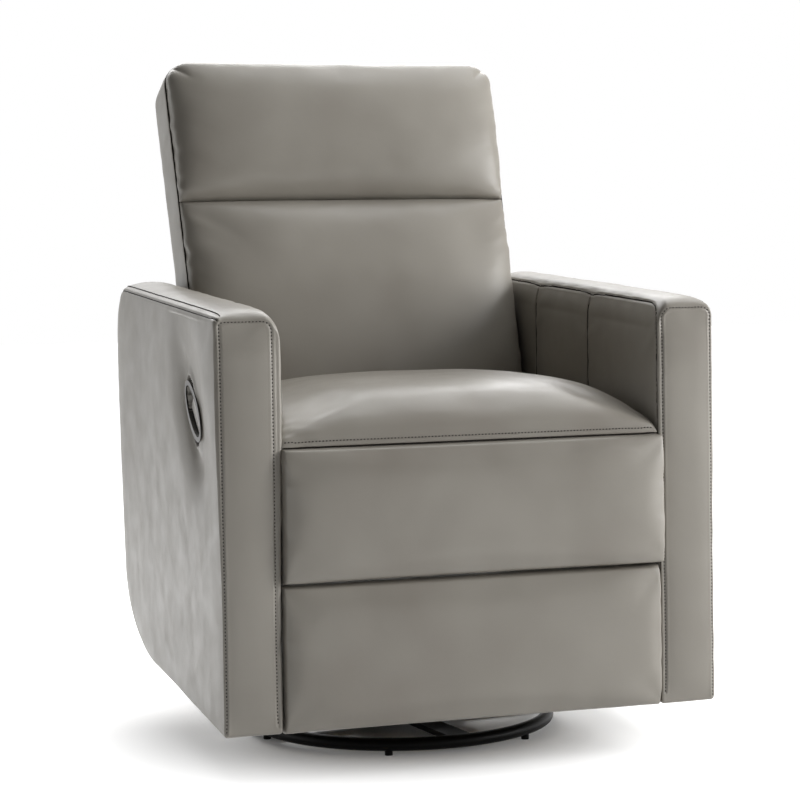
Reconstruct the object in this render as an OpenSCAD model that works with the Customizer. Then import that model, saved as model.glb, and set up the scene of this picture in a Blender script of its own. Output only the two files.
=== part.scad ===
// Swivel rocker recliner: track arms, drop-front seat, flush footrest, ring base.
// X runs to the right of someone facing the chair, Y runs back, Z up.
// The origin is on the floor, midway in width and in depth. Lengths whose names end
// in _y are measured back from the front plane of the arms, and in _h up from the floor.

/* [Overall] */
// Width over both arms
chair_w = 740; // [700:1:780]
// Front plane of the arms to the swivel axis
swivel_setback = 374; // [360:1:390]
// Gap between an arm and the seat or the footrest
side_gap = 5.5; // [4.5:0.5:7]

/* [Arms] */
// Width of one arm
arm_w = 84; // [70:1:100]
// Depth of an arm, front to back
arm_depth = 739; // [720:1:760]
// Height of the arm's top seam at the front
arm_front_h = 655; // [630:1:680]
// Rise of the top seam towards the rear
arm_rise = 30; // [10:1:40]
// Floor to the underside of the arm at the front
arm_clear = 78; // [70:1:90]
// Rise of the underside up to where the rear sweep starts
arm_belly_rise = 21; // [10:1:30]
// Length of the sweep at the lower rear corner
arm_sweep_l = 265; // [200:1:290]
// Height of that sweep
arm_sweep_h = 136; // [100:1:150]
// Rounding of the upper rear corner
arm_rear_r = 60; // [40:1:80]
// Rounding of the upper and lower front corners
arm_front_r = 12; // [6:1:20]
// Foam and leather over the arm's frame
arm_padding = 20; // [16:1:24]
// Depth of the top pad below its seam
arm_pad_t = 18; // [12:1:24]
// Crown of the top pad above its seam
arm_pad_crown = 10; // [4:1:16]
// Width of the timber in the arm frame
arm_board_w = 45; // [35:1:55]

/* [Seat] */
// Height of the seam along the seat's front edge
seat_seam_h = 479; // [470:1:490]
// Crown of the seat above that seam
seat_crown = 92; // [60:1:100]
// Length of the seat cushion
seat_l = 500; // [470:1:503]
// Height of the gap below the seat's front panel
seat_gap_h = 287; // [284:1:292]
// Thickness of the front panel at its edges
seat_panel_t = 71; // [60:1:72]
// Bulge of the front panel
seat_panel_bulge = 18; // [8:1:20]
// Height of the seat rails
seat_rail_h = 50; // [45:1:52]
// Thickness of the seat rails
seat_rail_t = 20; // [16:1:22]
// Number of sinuous springs
seat_spring_count = 5; // [3:1:6]

/* [Back] */
// Lean of the back from upright
back_lean = 19.9; // [17:0.1:21]
// Rise of the back's lower end above its pivot
back_rise = 48; // [43:1:58]
// Distance back to its front perimeter at that height
back_low_y = 517; // [512:1:525]
// Length of the back along its lean
back_l = 702; // [660:1:730]
// Lower end of the back to the headrest seam
headrest_seam_l = 454; // [430:1:480]
// Extra width at the upper end
back_flare = 29; // [10:1:40]
// Thickness of the upholstered shell
back_t = 88; // [80:1:100]
// Rounding of the upper corners
back_corner_r = 40; // [25:1:60]
// Bulge of the lumbar cushion
lumbar_bulge = 46; // [30:1:48]
// Bulge of the headrest
headrest_bulge = 50; // [30:1:60]

/* [Footrest] */
// Floor to the lower edge of the footrest
foot_low_h = 77; // [72:1:85]
// Gap between the footrest and the seat's front panel
foot_gap = 3; // [2:0.5:4]
// Depth of the footrest from the arms' plane to the back of its board
foot_t = 58; // [50:1:60]
// Bulge of the footrest cushion
foot_bulge = 10; // [4:1:14]
// Length of the drive link between its pivots
drive_l = 223.36; // [223.36:0.01:223.4]
// Length of the carry link between its pivots
carry_l = 242.8; // [242.8:0.01:242.9]

/* [Base] */
// Radius of the ring's centre line
ring_r = 229; // [220:1:240]
// Radius of the ring's tube
ring_tube_r = 10; // [8:0.5:12]
// Height of the glides under the ring
glide_h = 6; // [4:0.5:8]
// Number of glides
glide_count = 6; // [4:1:8]
// Width of the cross bars
cross_bar_w = 37; // [30:1:45]
// Turn of the cross bars from straight ahead
cross_bar_turn = 8; // [0:1:20]
// Height of the rocking axis
rock_h = 115; // [110:1:120]

/* [Release handle] */
// Half the length of the bezel
bezel_a = 61; // [55:1:65]
// Half the width of the bezel
bezel_b = 29; // [27:1:32]
// Tilt of the bezel's long axis
bezel_tilt = 36; // [20:1:50]
// Distance back to the bezel's centre
bezel_y = 172; // [165:1:185]
// Arm's top seam at the front down to the bezel's centre
bezel_drop = 133; // [125:1:145]

/* [Hidden] */

overrun = 1;
seat_clear = 0.3;
run_clear = 0.05;
round_fn = 48;

// Colours as seen
leather = [0.56, 0.54, 0.51];
steel = [0.42, 0.42, 0.43];
black_coat = [0.06, 0.06, 0.06];
timber = [0.72, 0.58, 0.4];
foam = [0.85, 0.8, 0.62];

// Front plane of the arms, placed so that the whole depth is centred on the origin
rear_y = back_low_y + back_l*sin(back_lean) + back_t*cos(back_lean);
front = (seat_panel_bulge - rear_y)/2;
inner_x = chair_w/2 - arm_w;
part_x = inner_x - side_gap;

// Steel layers, counted inwards from the arm
plate_t = 4;
layer_gap = 4;
mech_x = inner_x - plate_t;
drive_x = mech_x - layer_gap - plate_t;
carry_x = drive_x - layer_gap - plate_t;
foot_x = carry_x - layer_gap - plate_t;
pin_r = 5;
pin_head_r = 8;
pin_head_t = 2;
link_w = 24;
link_eye_r = 13;

// Places of the footrest linkage, back from the front plane and up
drive_y = 120.3;
drive_drop = 10.8;
drive_h = seat_gap_h - drive_drop;
drive_rest = -48.8;
carry_rest = 120.9;
knee_y = drive_y - drive_l*sin(drive_rest);
knee_h = drive_h - drive_l*cos(drive_rest);
toe_y = knee_y - carry_l*sin(carry_rest);
toe_h = knee_h - carry_l*cos(carry_rest);

function fy(y) = front + y;
function flip(p) = [for (i = [len(p) - 1:-1:0]) p[i]];

// Part on the right-hand side, copied to the left
module both_sides() {
    children();
    mirror([1, 0, 0]) children();
}

module left_side() {
    mirror([1, 0, 0]) children();
}

// Outline in Y and Z, measured back from the front plane, given a thickness along X
module side_plate(x, t) {
    translate([x, front, 0]) rotate([90, 0, 90]) linear_extrude(t) children();
}

module on_swivel() {
    translate([0, fy(swivel_setback), 0]) children();
}

// Round bar along X
module cross_rod(x0, x1, y, z, r) {
    translate([x0, fy(y), z]) rotate([0, 90, 0])
        cylinder(h = x1 - x0, r = r, $fn = round_fn);
}

// Soft block: flat back on Z = 0, side walls drawn in towards the back, and a
// crowned face towards +Z. The rim profile is a superellipse of the given powers.
soft_draw_share = 0.985;
function soft_spread(i, n) = sin(180*i/n - 90);
function soft_rim(s, k) = pow(max(0, 1 - pow(abs(s), k)), 1/k);
function soft_face(u, v, edge, crown, k) =
    edge + crown*soft_rim(u, k[0])*soft_rim(v, k[1]);

module soft_block(w, l, edge, crown, k, nu, nv, top_w = 0) {
    half_top = (top_w == 0 ? w : top_w)/2;
    function half(v) = w/2 + (half_top - w/2)*(v + 1)/2;
    face = [for (j = [0:nv]) for (i = [0:nu])
        let (u = soft_spread(i, nu), v = soft_spread(j, nv))
        [u*half(v), (v + 1)*l/2, soft_face(u, v, edge, crown, k)]];
    function at(i, j) = j*(nu + 1) + i;
    rim = concat([for (i = [0:nu - 1]) at(i, 0)], [for (j = [0:nv - 1]) at(nu, j)],
        [for (i = [nu:-1:1]) at(i, nv)], [for (j = [nv:-1:1]) at(0, j)]);
    n = len(rim);
    back = [for (r = rim) let (p = face[r])
        [p[0]*soft_draw_share, l/2 + (p[1] - l/2)*soft_draw_share, 0]];
    first = len(face);
    mid = first + n;
    polyhedron(
        points = concat(face, back, [[0, l/2, 0]]),
        faces = concat(
            [for (j = [0:nv - 1]) for (i = [0:nu - 1]) [at(i, j), at(i + 1, j + 1), at(i + 1, j)]],
            [for (j = [0:nv - 1]) for (i = [0:nu - 1]) [at(i, j), at(i, j + 1), at(i + 1, j + 1)]],
            [for (q = [0:n - 1]) [rim[q], rim[(q + 1) % n], first + q]],
            [for (q = [0:n - 1]) [rim[(q + 1) % n], first + (q + 1) % n, first + q]],
            [for (q = [0:n - 1]) [first + q, first + (q + 1) % n, mid]]));
}

// Base

ring_h = glide_h + ring_tube_r;
cross_bar_t = 8;
cross_bar_h = ring_h - cross_bar_t/2;
bed_h = cross_bar_h + cross_bar_t;
base_plate_w = 180;
base_plate_t = 4;
race_r = 70;
race_w = 16;
race_t = 10;
top_plate_w = 200;
top_plate_h = bed_h + base_plate_t + race_t;
swivel_top = top_plate_h + base_plate_t;
bolt_r = 8;
bolt_head_r = 14;
bolt_head_t = 6;
glide_r = 6;
base_screw_r = 4;
base_screw_reach = 40;

module base_ring() {
    color(black_coat) on_swivel() ring_solid();
}

module ring_solid() {
    translate([0, 0, ring_h])
        rotate_extrude($fn = 96) translate([ring_r, 0]) circle(ring_tube_r, $fn = 32);
}

module cross_bars() {
    color(black_coat) on_swivel() difference() {
        for (a = [0, 90])
            rotate([0, 0, a + cross_bar_turn])
                translate([-cross_bar_w/2, -ring_r, cross_bar_h])
                    cube([cross_bar_w, 2*ring_r, cross_bar_t]);
        ring_solid();
        translate([0, 0, cross_bar_h - overrun])
            cylinder(h = cross_bar_t + 2*overrun, r = bolt_r + run_clear, $fn = round_fn);
        base_screw_places() cylinder(h = swivel_top, r = base_screw_r, $fn = round_fn);
    }
}

module base_screw_places() {
    for (a = [0:90:270]) rotate([0, 0, a + cross_bar_turn]) translate([base_screw_reach, 0, 0])
        children();
}

// Each glide is a peg cut to the underside of the tube
module floor_glides() {
    color(black_coat) on_swivel() difference() {
        for (i = [0:glide_count - 1]) rotate([0, 0, 360*(i + 0.5)/glide_count + cross_bar_turn])
            translate([0, -ring_r, 0]) cylinder(h = ring_h, r = glide_r, $fn = 32);
        ring_solid();
        translate([-2*ring_r, -2*ring_r, ring_h]) cube([4*ring_r, 4*ring_r, ring_h]);
    }
}

module square_plate(w, z) {
    translate([-w/2, -w/2, z]) cube([w, w, base_plate_t]);
}

module lower_plate() {
    color(steel) on_swivel() difference() {
        rotate([0, 0, cross_bar_turn]) square_plate(base_plate_w, bed_h);
        cylinder(h = swivel_top, r = bolt_r + run_clear, $fn = round_fn);
        base_screw_places() cylinder(h = swivel_top, r = base_screw_r, $fn = round_fn);
    }
}

module bearing_race() {
    color(steel) on_swivel() translate([0, 0, bed_h + base_plate_t]) difference() {
        cylinder(h = race_t, r = race_r + race_w/2, $fn = 72);
        translate([0, 0, -overrun])
            cylinder(h = race_t + 2*overrun, r = race_r - race_w/2, $fn = 72);
    }
}

module centre_bolt() {
    color(steel) on_swivel() {
        translate([0, 0, cross_bar_h - bolt_head_t])
            cylinder(h = bolt_head_t, r = bolt_head_r, $fn = 6);
        translate([0, 0, cross_bar_h])
            cylinder(h = swivel_top - cross_bar_h + seat_clear, r = bolt_r, $fn = round_fn);
        translate([0, 0, swivel_top + seat_clear])
            cylinder(h = bolt_head_t, r = bolt_head_r, $fn = 6);
    }
}

module base_screws() {
    color(steel) on_swivel() base_screw_places() translate([0, 0, cross_bar_h])
        cylinder(h = cross_bar_t + base_plate_t + bolt_head_t/2, r = base_screw_r, $fn = round_fn);
}

// Turntable and rocker

post_x = 90;
post_t = 6;
post_w = 60;
post_foot_w = 120;
hanger_gap = 6;
hanger_x = post_x - hanger_gap - post_t;
rock_pin_r = 8;
rock_eye_r = 20;
tube_w = 30;
tube_wall = 2.5;
tube_h = 215;
front_tube_y = 330;
rear_tube_y = 470;
spring_plate_h = 150;
spring_plate_t = 4;
spring_reach_x = 48;
spring_reach_y = 62;
spring_r = 20;
spring_wire_r = 3;
spring_turns = 5;

module upper_plate() {
    color(steel) on_swivel() difference() {
        square_plate(top_plate_w, top_plate_h);
        cylinder(h = rock_h, r = bolt_r + run_clear, $fn = round_fn);
    }
}

module rocker_posts() {
    color(black_coat) both_sides() difference() {
        side_plate(post_x, post_t) difference() {
            polygon([
                [swivel_setback - post_foot_w/2, swivel_top],
                [swivel_setback + post_foot_w/2, swivel_top],
                [swivel_setback + post_w/2, rock_h + rock_eye_r],
                [swivel_setback - post_w/2, rock_h + rock_eye_r]]);
            translate([swivel_setback, rock_h]) circle(rock_pin_r + run_clear, $fn = round_fn);
        }
    }
}

module rocking_pin() {
    color(steel) cross_rod(-post_x - 2*post_t, post_x + 2*post_t, swivel_setback, rock_h, rock_pin_r);
}

module rocker_hangers() {
    color(black_coat) both_sides() side_plate(hanger_x, post_t) difference() {
        union() {
            polygon([
                [front_tube_y, tube_h],
                [swivel_setback - rock_eye_r, rock_h],
                [swivel_setback + rock_eye_r, rock_h],
                [rear_tube_y + tube_w, tube_h]]);
            translate([swivel_setback, rock_h]) circle(rock_eye_r, $fn = round_fn);
        }
        translate([swivel_setback, rock_h]) circle(rock_pin_r + run_clear, $fn = round_fn);
    }
}

module spring_plate() {
    w = spring_reach_y + spring_r + spring_wire_r;
    color(black_coat) on_swivel() translate([-hanger_x, -w, spring_plate_h])
        cube([2*hanger_x, 2*w, spring_plate_t]);
}

// One helical spring, swept as a closed tube between the two plates
spring_segs = 12;
spring_sides = 6;
module coil_spring(x, y) {
    rings = spring_turns*spring_segs;
    z0 = swivel_top + spring_wire_r + seat_clear;
    z1 = spring_plate_h - spring_wire_r - seat_clear;
    pts = [for (i = [0:rings]) for (s = [0:spring_sides - 1])
        let (a = 360*i/spring_segs, b = 360*s/spring_sides, r = spring_r + spring_wire_r*cos(b))
        [x + r*cos(a), y + r*sin(a), z0 + (z1 - z0)*i/rings + spring_wire_r*sin(b)]];
    function at(i, s) = i*spring_sides + s % spring_sides;
    polyhedron(points = pts, faces = concat(
        [[for (s = [0:spring_sides - 1]) at(0, s)]],
        [[for (s = [spring_sides - 1:-1:0]) at(rings, s)]],
        [for (i = [0:rings - 1]) for (s = [0:spring_sides - 1]) [at(i, s), at(i + 1, s), at(i + 1, s + 1)]],
        [for (i = [0:rings - 1]) for (s = [0:spring_sides - 1]) [at(i, s), at(i + 1, s + 1), at(i, s + 1)]]));
}

module front_rocker_springs() {
    color(steel) on_swivel()
        for (x = [-spring_reach_x, spring_reach_x]) coil_spring(x, -spring_reach_y);
}

module rear_rocker_springs() {
    color(steel) on_swivel()
        for (x = [-spring_reach_x, spring_reach_x]) coil_spring(x, spring_reach_y);
}

// Chassis

runner_rise = 35;
runner_h = seat_gap_h + runner_rise;
plate_low = tube_h - tube_w/2;
plate_front_low = drive_h - link_w;
plate_front_y = drive_y - link_w;
plate_rear_y = 560;
plate_notch_y = 300;
cable_hole_r = 5;
latch_back = 51.7;
latch_rise = 23.8;
latch_y = drive_y + latch_back;
latch_h = drive_h + latch_rise;
cable_lead = 38;
cable_hole_y = latch_y + cable_lead;
cable_hole_h = latch_h;
arm_screw_r = 3;
arm_screw_l = 16;
arm_screw_spots = [[160, drive_h + 19.8], [330, drive_h - 6.2], [520, drive_h - 6.2]];
runner_w = 27;
runner_x = mech_x - runner_w;

module square_tube(y) {
    color(black_coat) side_plate(-mech_x, 2*mech_x) translate([y, tube_h]) difference() {
        square(tube_w);
        translate([tube_wall, tube_wall]) square(tube_w - 2*tube_wall);
    }
}

module front_cross_tube() { square_tube(front_tube_y); }
module rear_cross_tube() { square_tube(rear_tube_y); }

module mech_plate() {
    color(steel) side_plate(mech_x, plate_t) difference() {
        polygon([
            [plate_front_y, plate_front_low], [plate_notch_y, plate_low],
            [plate_rear_y, plate_low], [plate_rear_y, runner_h + plate_t],
            [plate_front_y, runner_h + plate_t]]);
        translate([drive_y, drive_h]) circle(pin_r + run_clear, $fn = round_fn);
        translate([cable_hole_y, cable_hole_h]) circle(cable_hole_r, $fn = 24);
        for (p = arm_screw_spots) translate(p) circle(arm_screw_r, $fn = 24);
    }
}

module left_mech_plate() { left_side() mech_plate(); }
module right_mech_plate() { mech_plate(); }

module seat_runners() {
    color(steel) both_sides() translate([runner_x, fy(plate_front_y), runner_h])
        cube([runner_w, plate_rear_y - plate_front_y, plate_t]);
}

module drive_pins() {
    color(steel) both_sides() {
        cross_rod(drive_x - pin_head_t, inner_x, drive_y, drive_h, pin_r);
        cross_rod(mech_x - layer_gap + seat_clear, mech_x - seat_clear, drive_y, drive_h, pin_head_r);
    }
}

module arm_screws() {
    color(steel) both_sides() for (p = arm_screw_spots) {
        cross_rod(mech_x, inner_x + arm_screw_l, p[0], p[1], arm_screw_r);
        cross_rod(mech_x - pin_head_t/2, mech_x, p[0], p[1], 2*arm_screw_r);
    }
}

// Side profile of an arm, drawn in by d: front, underside, rear sweep, rounded rear top.
// The top edge sits one pad depth below the seam.
arc_steps = 10;
function arm_top(y) = arm_front_h + arm_rise*y/(arm_depth - arm_rear_r) - arm_pad_t;
function arm_belly(y) = arm_clear + arm_belly_rise*y/(arm_depth - arm_sweep_l);
function arm_profile(d) = concat(
    d < arm_front_r
        ? [[d, arm_clear + arm_front_r], [arm_front_r, arm_clear + d]]
        : [[d, arm_belly(d) + d]],
    [for (i = [0:arc_steps]) let (a = 90*i/arc_steps)
        [arm_depth - arm_sweep_l + (arm_sweep_l - d)*sin(a),
         arm_clear + arm_belly_rise + arm_sweep_h - (arm_sweep_h - d)*cos(a)]],
    [for (i = [0:arc_steps]) let (a = 90*i/arc_steps, r = max(arm_rear_r - d, arm_front_r))
        [arm_depth - d - r + r*cos(a), arm_top(arm_depth - arm_rear_r) - d - r + r*sin(a)]],
    d < arm_front_r
        ? [[arm_front_r, arm_top(arm_front_r) - d], [d, arm_top(0) - arm_front_r]]
        : [[d, arm_top(d) - d]]);

// The upholstery is open underneath, along the frame's lower board
arm_slot_y = 60;
arm_slot_h = arm_clear + arm_belly_rise + arm_padding + overrun;
cup_margin = 5;
handle_cup_a = bezel_a - cup_margin;
handle_cup_b = bezel_b - cup_margin;

module arm_body() {
    difference() {
        side_plate(inner_x, arm_w) polygon(arm_profile(0));
        side_plate(inner_x + arm_padding, arm_w - 2*arm_padding) {
            polygon(arm_profile(arm_padding));
            polygon([
                [arm_slot_y, 0], [arm_depth - arm_sweep_l, 0],
                [arm_depth - arm_sweep_l, arm_slot_h], [arm_slot_y, arm_slot_h]]);
        }
        for (p = arm_screw_spots)
            cross_rod(inner_x - overrun, inner_x + arm_screw_l, p[0], p[1], arm_screw_r);
    }
}

module left_arm_cover() {
    color(leather) difference() {
        left_side() arm_body();
        on_arm_side() handle_pocket();
        cross_rod(-inner_x - 2*arm_padding, -inner_x + overrun, cable_hole_y, cable_hole_h, cable_hole_r);
    }
}

module right_arm_cover() { color(leather) arm_body(); }

arm_post_y = 330;

module arm_frame() {
    color(timber) side_plate(inner_x + arm_padding, arm_w - 2*arm_padding) {
        difference() {
            polygon(arm_profile(arm_padding));
            polygon(arm_profile(arm_padding + arm_board_w));
        }
        translate([arm_post_y, arm_belly(arm_post_y) + arm_padding + arm_board_w/2])
            square([arm_board_w, arm_top(arm_post_y) - arm_belly(arm_post_y) - 2*arm_padding - arm_board_w]);
    }
}

module left_arm_frame() {
    color(timber) difference() {
        left_side() arm_frame();
        on_arm_side() translate([0, 0, -cup_depth - seat_clear])
            linear_extrude(cup_depth) oval(handle_cup_a + seat_clear, handle_cup_b + seat_clear);
    }
}
module right_arm_frame() { arm_frame(); }

arm_pad_k = [3, 7];
arm_pad_inset = 3;

module arm_pad() {
    slope = atan(arm_rise/(arm_depth - arm_rear_r));
    pad_l = arm_depth - arm_rear_r/2 - 2*arm_pad_inset;
    color(leather) translate([inner_x + arm_w/2, front + arm_pad_inset, arm_top(arm_pad_inset)])
        rotate([slope, 0, 0])
            soft_block(arm_w, pad_l, arm_pad_t, arm_pad_crown, arm_pad_k, 8, 14);
}

module left_arm_pad() { left_side() arm_pad(); }
module right_arm_pad() { arm_pad(); }

// Release handle

bezel_h = arm_front_h - bezel_drop;
bezel_lip = 3;
bezel_wall = 3;
cup_depth = 26;
paddle_half = 28;
paddle_t = 6;
paddle_low = -4;
paddle_high = 16;
paddle_axis_v = 15;
paddle_axis_n = -9;
paddle_pin_r = 2;

// Local frame on the left arm's outer side: X along the bezel's long axis, Z outwards
module on_arm_side() {
    translate([-chair_w/2, fy(bezel_y), bezel_h]) rotate([0, -90, 0]) rotate([0, 0, 90 - bezel_tilt])
        children();
}

oval_steps = 48;
module oval(a, b) {
    polygon([for (i = [0:oval_steps - 1]) let (t = 360*i/oval_steps) [a*cos(t), b*sin(t)]]);
}

// Pocket in the upholstery for the cup and its flush lip
module handle_pocket() {
    translate([0, 0, -cup_depth]) linear_extrude(cup_depth + overrun) oval(handle_cup_a, handle_cup_b);
    translate([0, 0, -bezel_lip]) linear_extrude(bezel_lip + overrun) oval(bezel_a, bezel_b);
}

module handle_bezel() {
    color(steel) on_arm_side() difference() {
        union() {
            translate([0, 0, -cup_depth]) linear_extrude(cup_depth) oval(handle_cup_a, handle_cup_b);
            translate([0, 0, -bezel_lip]) linear_extrude(bezel_lip) oval(bezel_a, bezel_b);
        }
        translate([0, 0, bezel_wall - cup_depth]) linear_extrude(cup_depth + bezel_lip)
            oval(handle_cup_a - bezel_wall, handle_cup_b - bezel_wall);
        paddle_rod(handle_cup_a, paddle_pin_r + run_clear);
    }
}

module paddle_rod(half, r) {
    translate([-half, paddle_axis_v, paddle_axis_n]) rotate([0, 90, 0])
        cylinder(h = 2*half, r = r, $fn = 32);
}

module release_paddle() {
    color(steel) on_arm_side() difference() {
        translate([0, 0, paddle_axis_n - paddle_t/2]) linear_extrude(paddle_t) polygon(concat(
            [[-paddle_half, paddle_high], [-paddle_half, 0]],
            [for (i = [0:arc_steps]) let (t = 180 + 180*i/arc_steps)
                [paddle_half*cos(t), -paddle_low*sin(t)]],
            [[paddle_half, paddle_high]]));
        paddle_rod(paddle_half + overrun, paddle_pin_r + run_clear);
    }
}

module paddle_pin() {
    reach = handle_cup_a*sqrt(1 - pow((paddle_axis_v + paddle_pin_r)/handle_cup_b, 2));
    color(steel) on_arm_side() paddle_rod(reach - overrun, paddle_pin_r);
}

latch_x = runner_x - plate_t;
shoe_x = latch_x - plate_t - seat_clear;
latch_pin_r = 3;
drum_r = 22;
shoe_w = 14;
shoe_tail = 26;

module latch_bracket() {
    color(steel) left_side() side_plate(latch_x, plate_t) difference() {
        polygon([
            [latch_y - shoe_tail, runner_h + plate_t], [latch_y + shoe_tail, runner_h + plate_t],
            [latch_y + shoe_w, latch_h - shoe_w], [latch_y - shoe_w, latch_h - shoe_w]]);
        translate([latch_y, latch_h]) circle(latch_pin_r + run_clear, $fn = 32);
    }
}

module latch_pin() {
    color(steel) left_side()
        cross_rod(shoe_x - pin_head_t, latch_x + plate_t, latch_y, latch_h, latch_pin_r);
}

// The shoe's nose is hollowed to the drum, which it clamps at rest
module latch_shoe() {
    color(steel) left_side() side_plate(shoe_x, plate_t) difference() {
        union() {
            polygon([
                [drive_y + drum_r/2, drive_h + shoe_w/2], [latch_y, latch_h - shoe_w/2],
                [latch_y + shoe_tail, latch_h - shoe_w/2], [latch_y + shoe_tail, latch_h + shoe_w/2],
                [latch_y, latch_h + shoe_w/2], [drive_y + drum_r/2, drive_h + drum_r]]);
            translate([latch_y, latch_h]) circle(shoe_w/2, $fn = 32);
        }
        translate([drive_y, drive_h]) circle(drum_r + seat_clear, $fn = 72);
        translate([latch_y, latch_h]) circle(latch_pin_r + run_clear, $fn = 32);
    }
}

// Cable from the handle's cup, down inside the arm, out under the seat to the shoe
cable_r = 2.5;
cable_sides = 8;
cable_turn = 12;
cable_seat = 0.5;
arm_mid_x = inner_x + arm_w/2;
cup_x = chair_w/2 - cup_depth - cable_seat;
cable_drop = bezel_h - cable_hole_h;
cable_route = [
    [-cup_x, bezel_y, bezel_h],
    [-cup_x + cable_turn*5/8, bezel_y + cable_turn/12, bezel_h - cable_turn/6],
    [-arm_mid_x - cable_turn/12, bezel_y + cable_turn/3, bezel_h - cable_turn*7/6],
    [-arm_mid_x, bezel_y + cable_turn, bezel_h - cable_drop/4],
    [-arm_mid_x, cable_hole_y - cable_turn, cable_hole_h + cable_drop/2],
    [-arm_mid_x, cable_hole_y - cable_turn/6, cable_hole_h + cable_drop/5],
    [-arm_mid_x + cable_turn/6, cable_hole_y, cable_hole_h + cable_turn],
    [-arm_mid_x + cable_turn, cable_hole_y, cable_hole_h + cable_turn/12],
    [-inner_x - cable_turn, cable_hole_y, cable_hole_h],
    [-inner_x + cable_turn/2, cable_hole_y, cable_hole_h],
    [-inner_x + 2*cable_turn, cable_hole_y, cable_hole_h],
    [-shoe_x - plate_t - cable_turn/12, cable_hole_y - cable_turn*5/12, cable_hole_h],
    [-shoe_x - plate_t/2, cable_hole_y - cable_turn*3/4, cable_hole_h]
];

function unit(v) = v/norm(v);
function route_dir(p, i) = unit(p[min(i + 1, len(p) - 1)] - p[max(i - 1, 0)]);

module swept_tube(p, r, sides) {
    n = len(p);
    pts = [for (i = [0:n - 1]) let (
            d = route_dir(p, i),
            e = unit(cross(d, [0, 1, 0.01])),
            f = cross(d, e))
        for (s = [0:sides - 1]) p[i] + r*(cos(360*s/sides)*e + sin(360*s/sides)*f)];
    function at(i, s) = i*sides + s % sides;
    polyhedron(points = pts, faces = concat(
        [[for (s = [0:sides - 1]) at(0, s)]],
        [[for (s = [sides - 1:-1:0]) at(n - 1, s)]],
        [for (i = [0:n - 2]) for (s = [0:sides - 1]) [at(i, s), at(i + 1, s), at(i + 1, s + 1)]],
        [for (i = [0:n - 2]) for (s = [0:sides - 1]) [at(i, s), at(i + 1, s + 1), at(i, s + 1)]]));
}

module release_cable() {
    color(black_coat) translate([0, front, 0]) swept_tube(cable_route, cable_r, cable_sides);
}

// Footrest linkage

module link_bar(x, y0, h0, y1, h1, r0, r1) {
    color(steel) side_plate(x, plate_t) difference() {
        union() {
            translate([y0, h0]) circle(link_eye_r, $fn = round_fn);
            translate([y1, h1]) circle(link_eye_r, $fn = round_fn);
            translate([y0, h0]) rotate(atan2(h1 - h0, y1 - y0)) translate([0, -link_w/2])
                square([norm([y1 - y0, h1 - h0]), link_w]);
        }
        translate([y0, h0]) circle(r0, $fn = round_fn);
        translate([y1, h1]) circle(r1, $fn = round_fn);
    }
}

module drive_link() {
    link_bar(drive_x, drive_y, drive_h, knee_y, knee_h, pin_r + run_clear, pin_r);
}

module left_drive_link() { left_side() drive_link(); }
module right_drive_link() { drive_link(); }

torque_r = 9;
torque_wall = 2;
module torque_tube() {
    color(steel) difference() {
        cross_rod(-drive_x, drive_x, drive_y, drive_h, torque_r);
        cross_rod(-drive_x - overrun, drive_x + overrun, drive_y, drive_h, torque_r - torque_wall);
    }
}

module latch_drum() {
    color(steel) left_side() difference() {
        cross_rod(shoe_x, shoe_x + plate_t, drive_y, drive_h, drum_r);
        cross_rod(shoe_x - overrun, shoe_x + plate_t + overrun, drive_y, drive_h, torque_r);
    }
}

module knee_pins() {
    color(steel) both_sides() {
        cross_rod(carry_x - pin_head_t, drive_x + plate_t + pin_head_t/2, knee_y, knee_h, pin_r);
        cross_rod(carry_x + plate_t + seat_clear, drive_x, knee_y, knee_h, pin_head_r);
    }
}

module carry_link() {
    link_bar(carry_x, knee_y, knee_h, toe_y, toe_h, pin_r + run_clear, pin_r);
}

module left_carry_link() { left_side() carry_link(); }
module right_carry_link() { carry_link(); }

module footrest_pins() {
    color(steel) both_sides() {
        cross_rod(foot_x - pin_head_t, carry_x + plate_t + pin_head_t/2, toe_y, toe_h, pin_r);
        cross_rod(foot_x + plate_t + seat_clear, carry_x, toe_y, toe_h, pin_head_r);
    }
}

foot_board_t = 12;
foot_board_inset = 12;
foot_top_h = seat_gap_h - foot_gap;
foot_l = foot_top_h - foot_low_h;
foot_edge_t = foot_t - foot_board_t;
foot_k = [8, 5];
bracket_l = 70;

module footrest_bracket() {
    color(steel) side_plate(foot_x, plate_t) difference() {
        union() {
            translate([toe_y, toe_h]) circle(link_eye_r, $fn = round_fn);
            polygon([
                [foot_t, toe_h - bracket_l], [toe_y, toe_h - link_w/2],
                [toe_y, toe_h + link_w/2], [foot_t, toe_h + link_w/2]]);
        }
        translate([toe_y, toe_h]) circle(pin_r + run_clear, $fn = round_fn);
    }
}

module left_footrest_bracket() { left_side() footrest_bracket(); }
module right_footrest_bracket() { footrest_bracket(); }

module footrest_board() {
    w = part_x - foot_board_inset;
    color(timber) translate([-w, fy(foot_edge_t), foot_low_h + foot_board_inset])
        cube([2*w, foot_board_t, foot_l - 2*foot_board_inset]);
}

module footrest_cushion() {
    color(leather) translate([0, fy(foot_edge_t), foot_low_h]) rotate([90, 0, 0])
        soft_block(2*part_x, foot_l, foot_edge_t - foot_bulge, 2*foot_bulge, foot_k, 18, 16);
}

// Seat

rail_x = runner_x - plate_t;
rail_low = runner_h + plate_t + seat_clear;
rail_front_y = seat_panel_t + seat_clear;
pivot_y = 540;
pivot_rise = 30;
pivot_h = runner_h + pivot_rise;
back_low_h = pivot_h + back_rise;
pivot_r = 5;
pivot_eye_r = 18;
rail_out_x = rail_x + seat_rail_t;
hinge_side_gap = 0.8;
hinge_x = rail_out_x + hinge_side_gap;
back_low_w = 2*(hinge_x - seat_clear);
back_top_w = back_low_w + back_flare;

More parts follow.
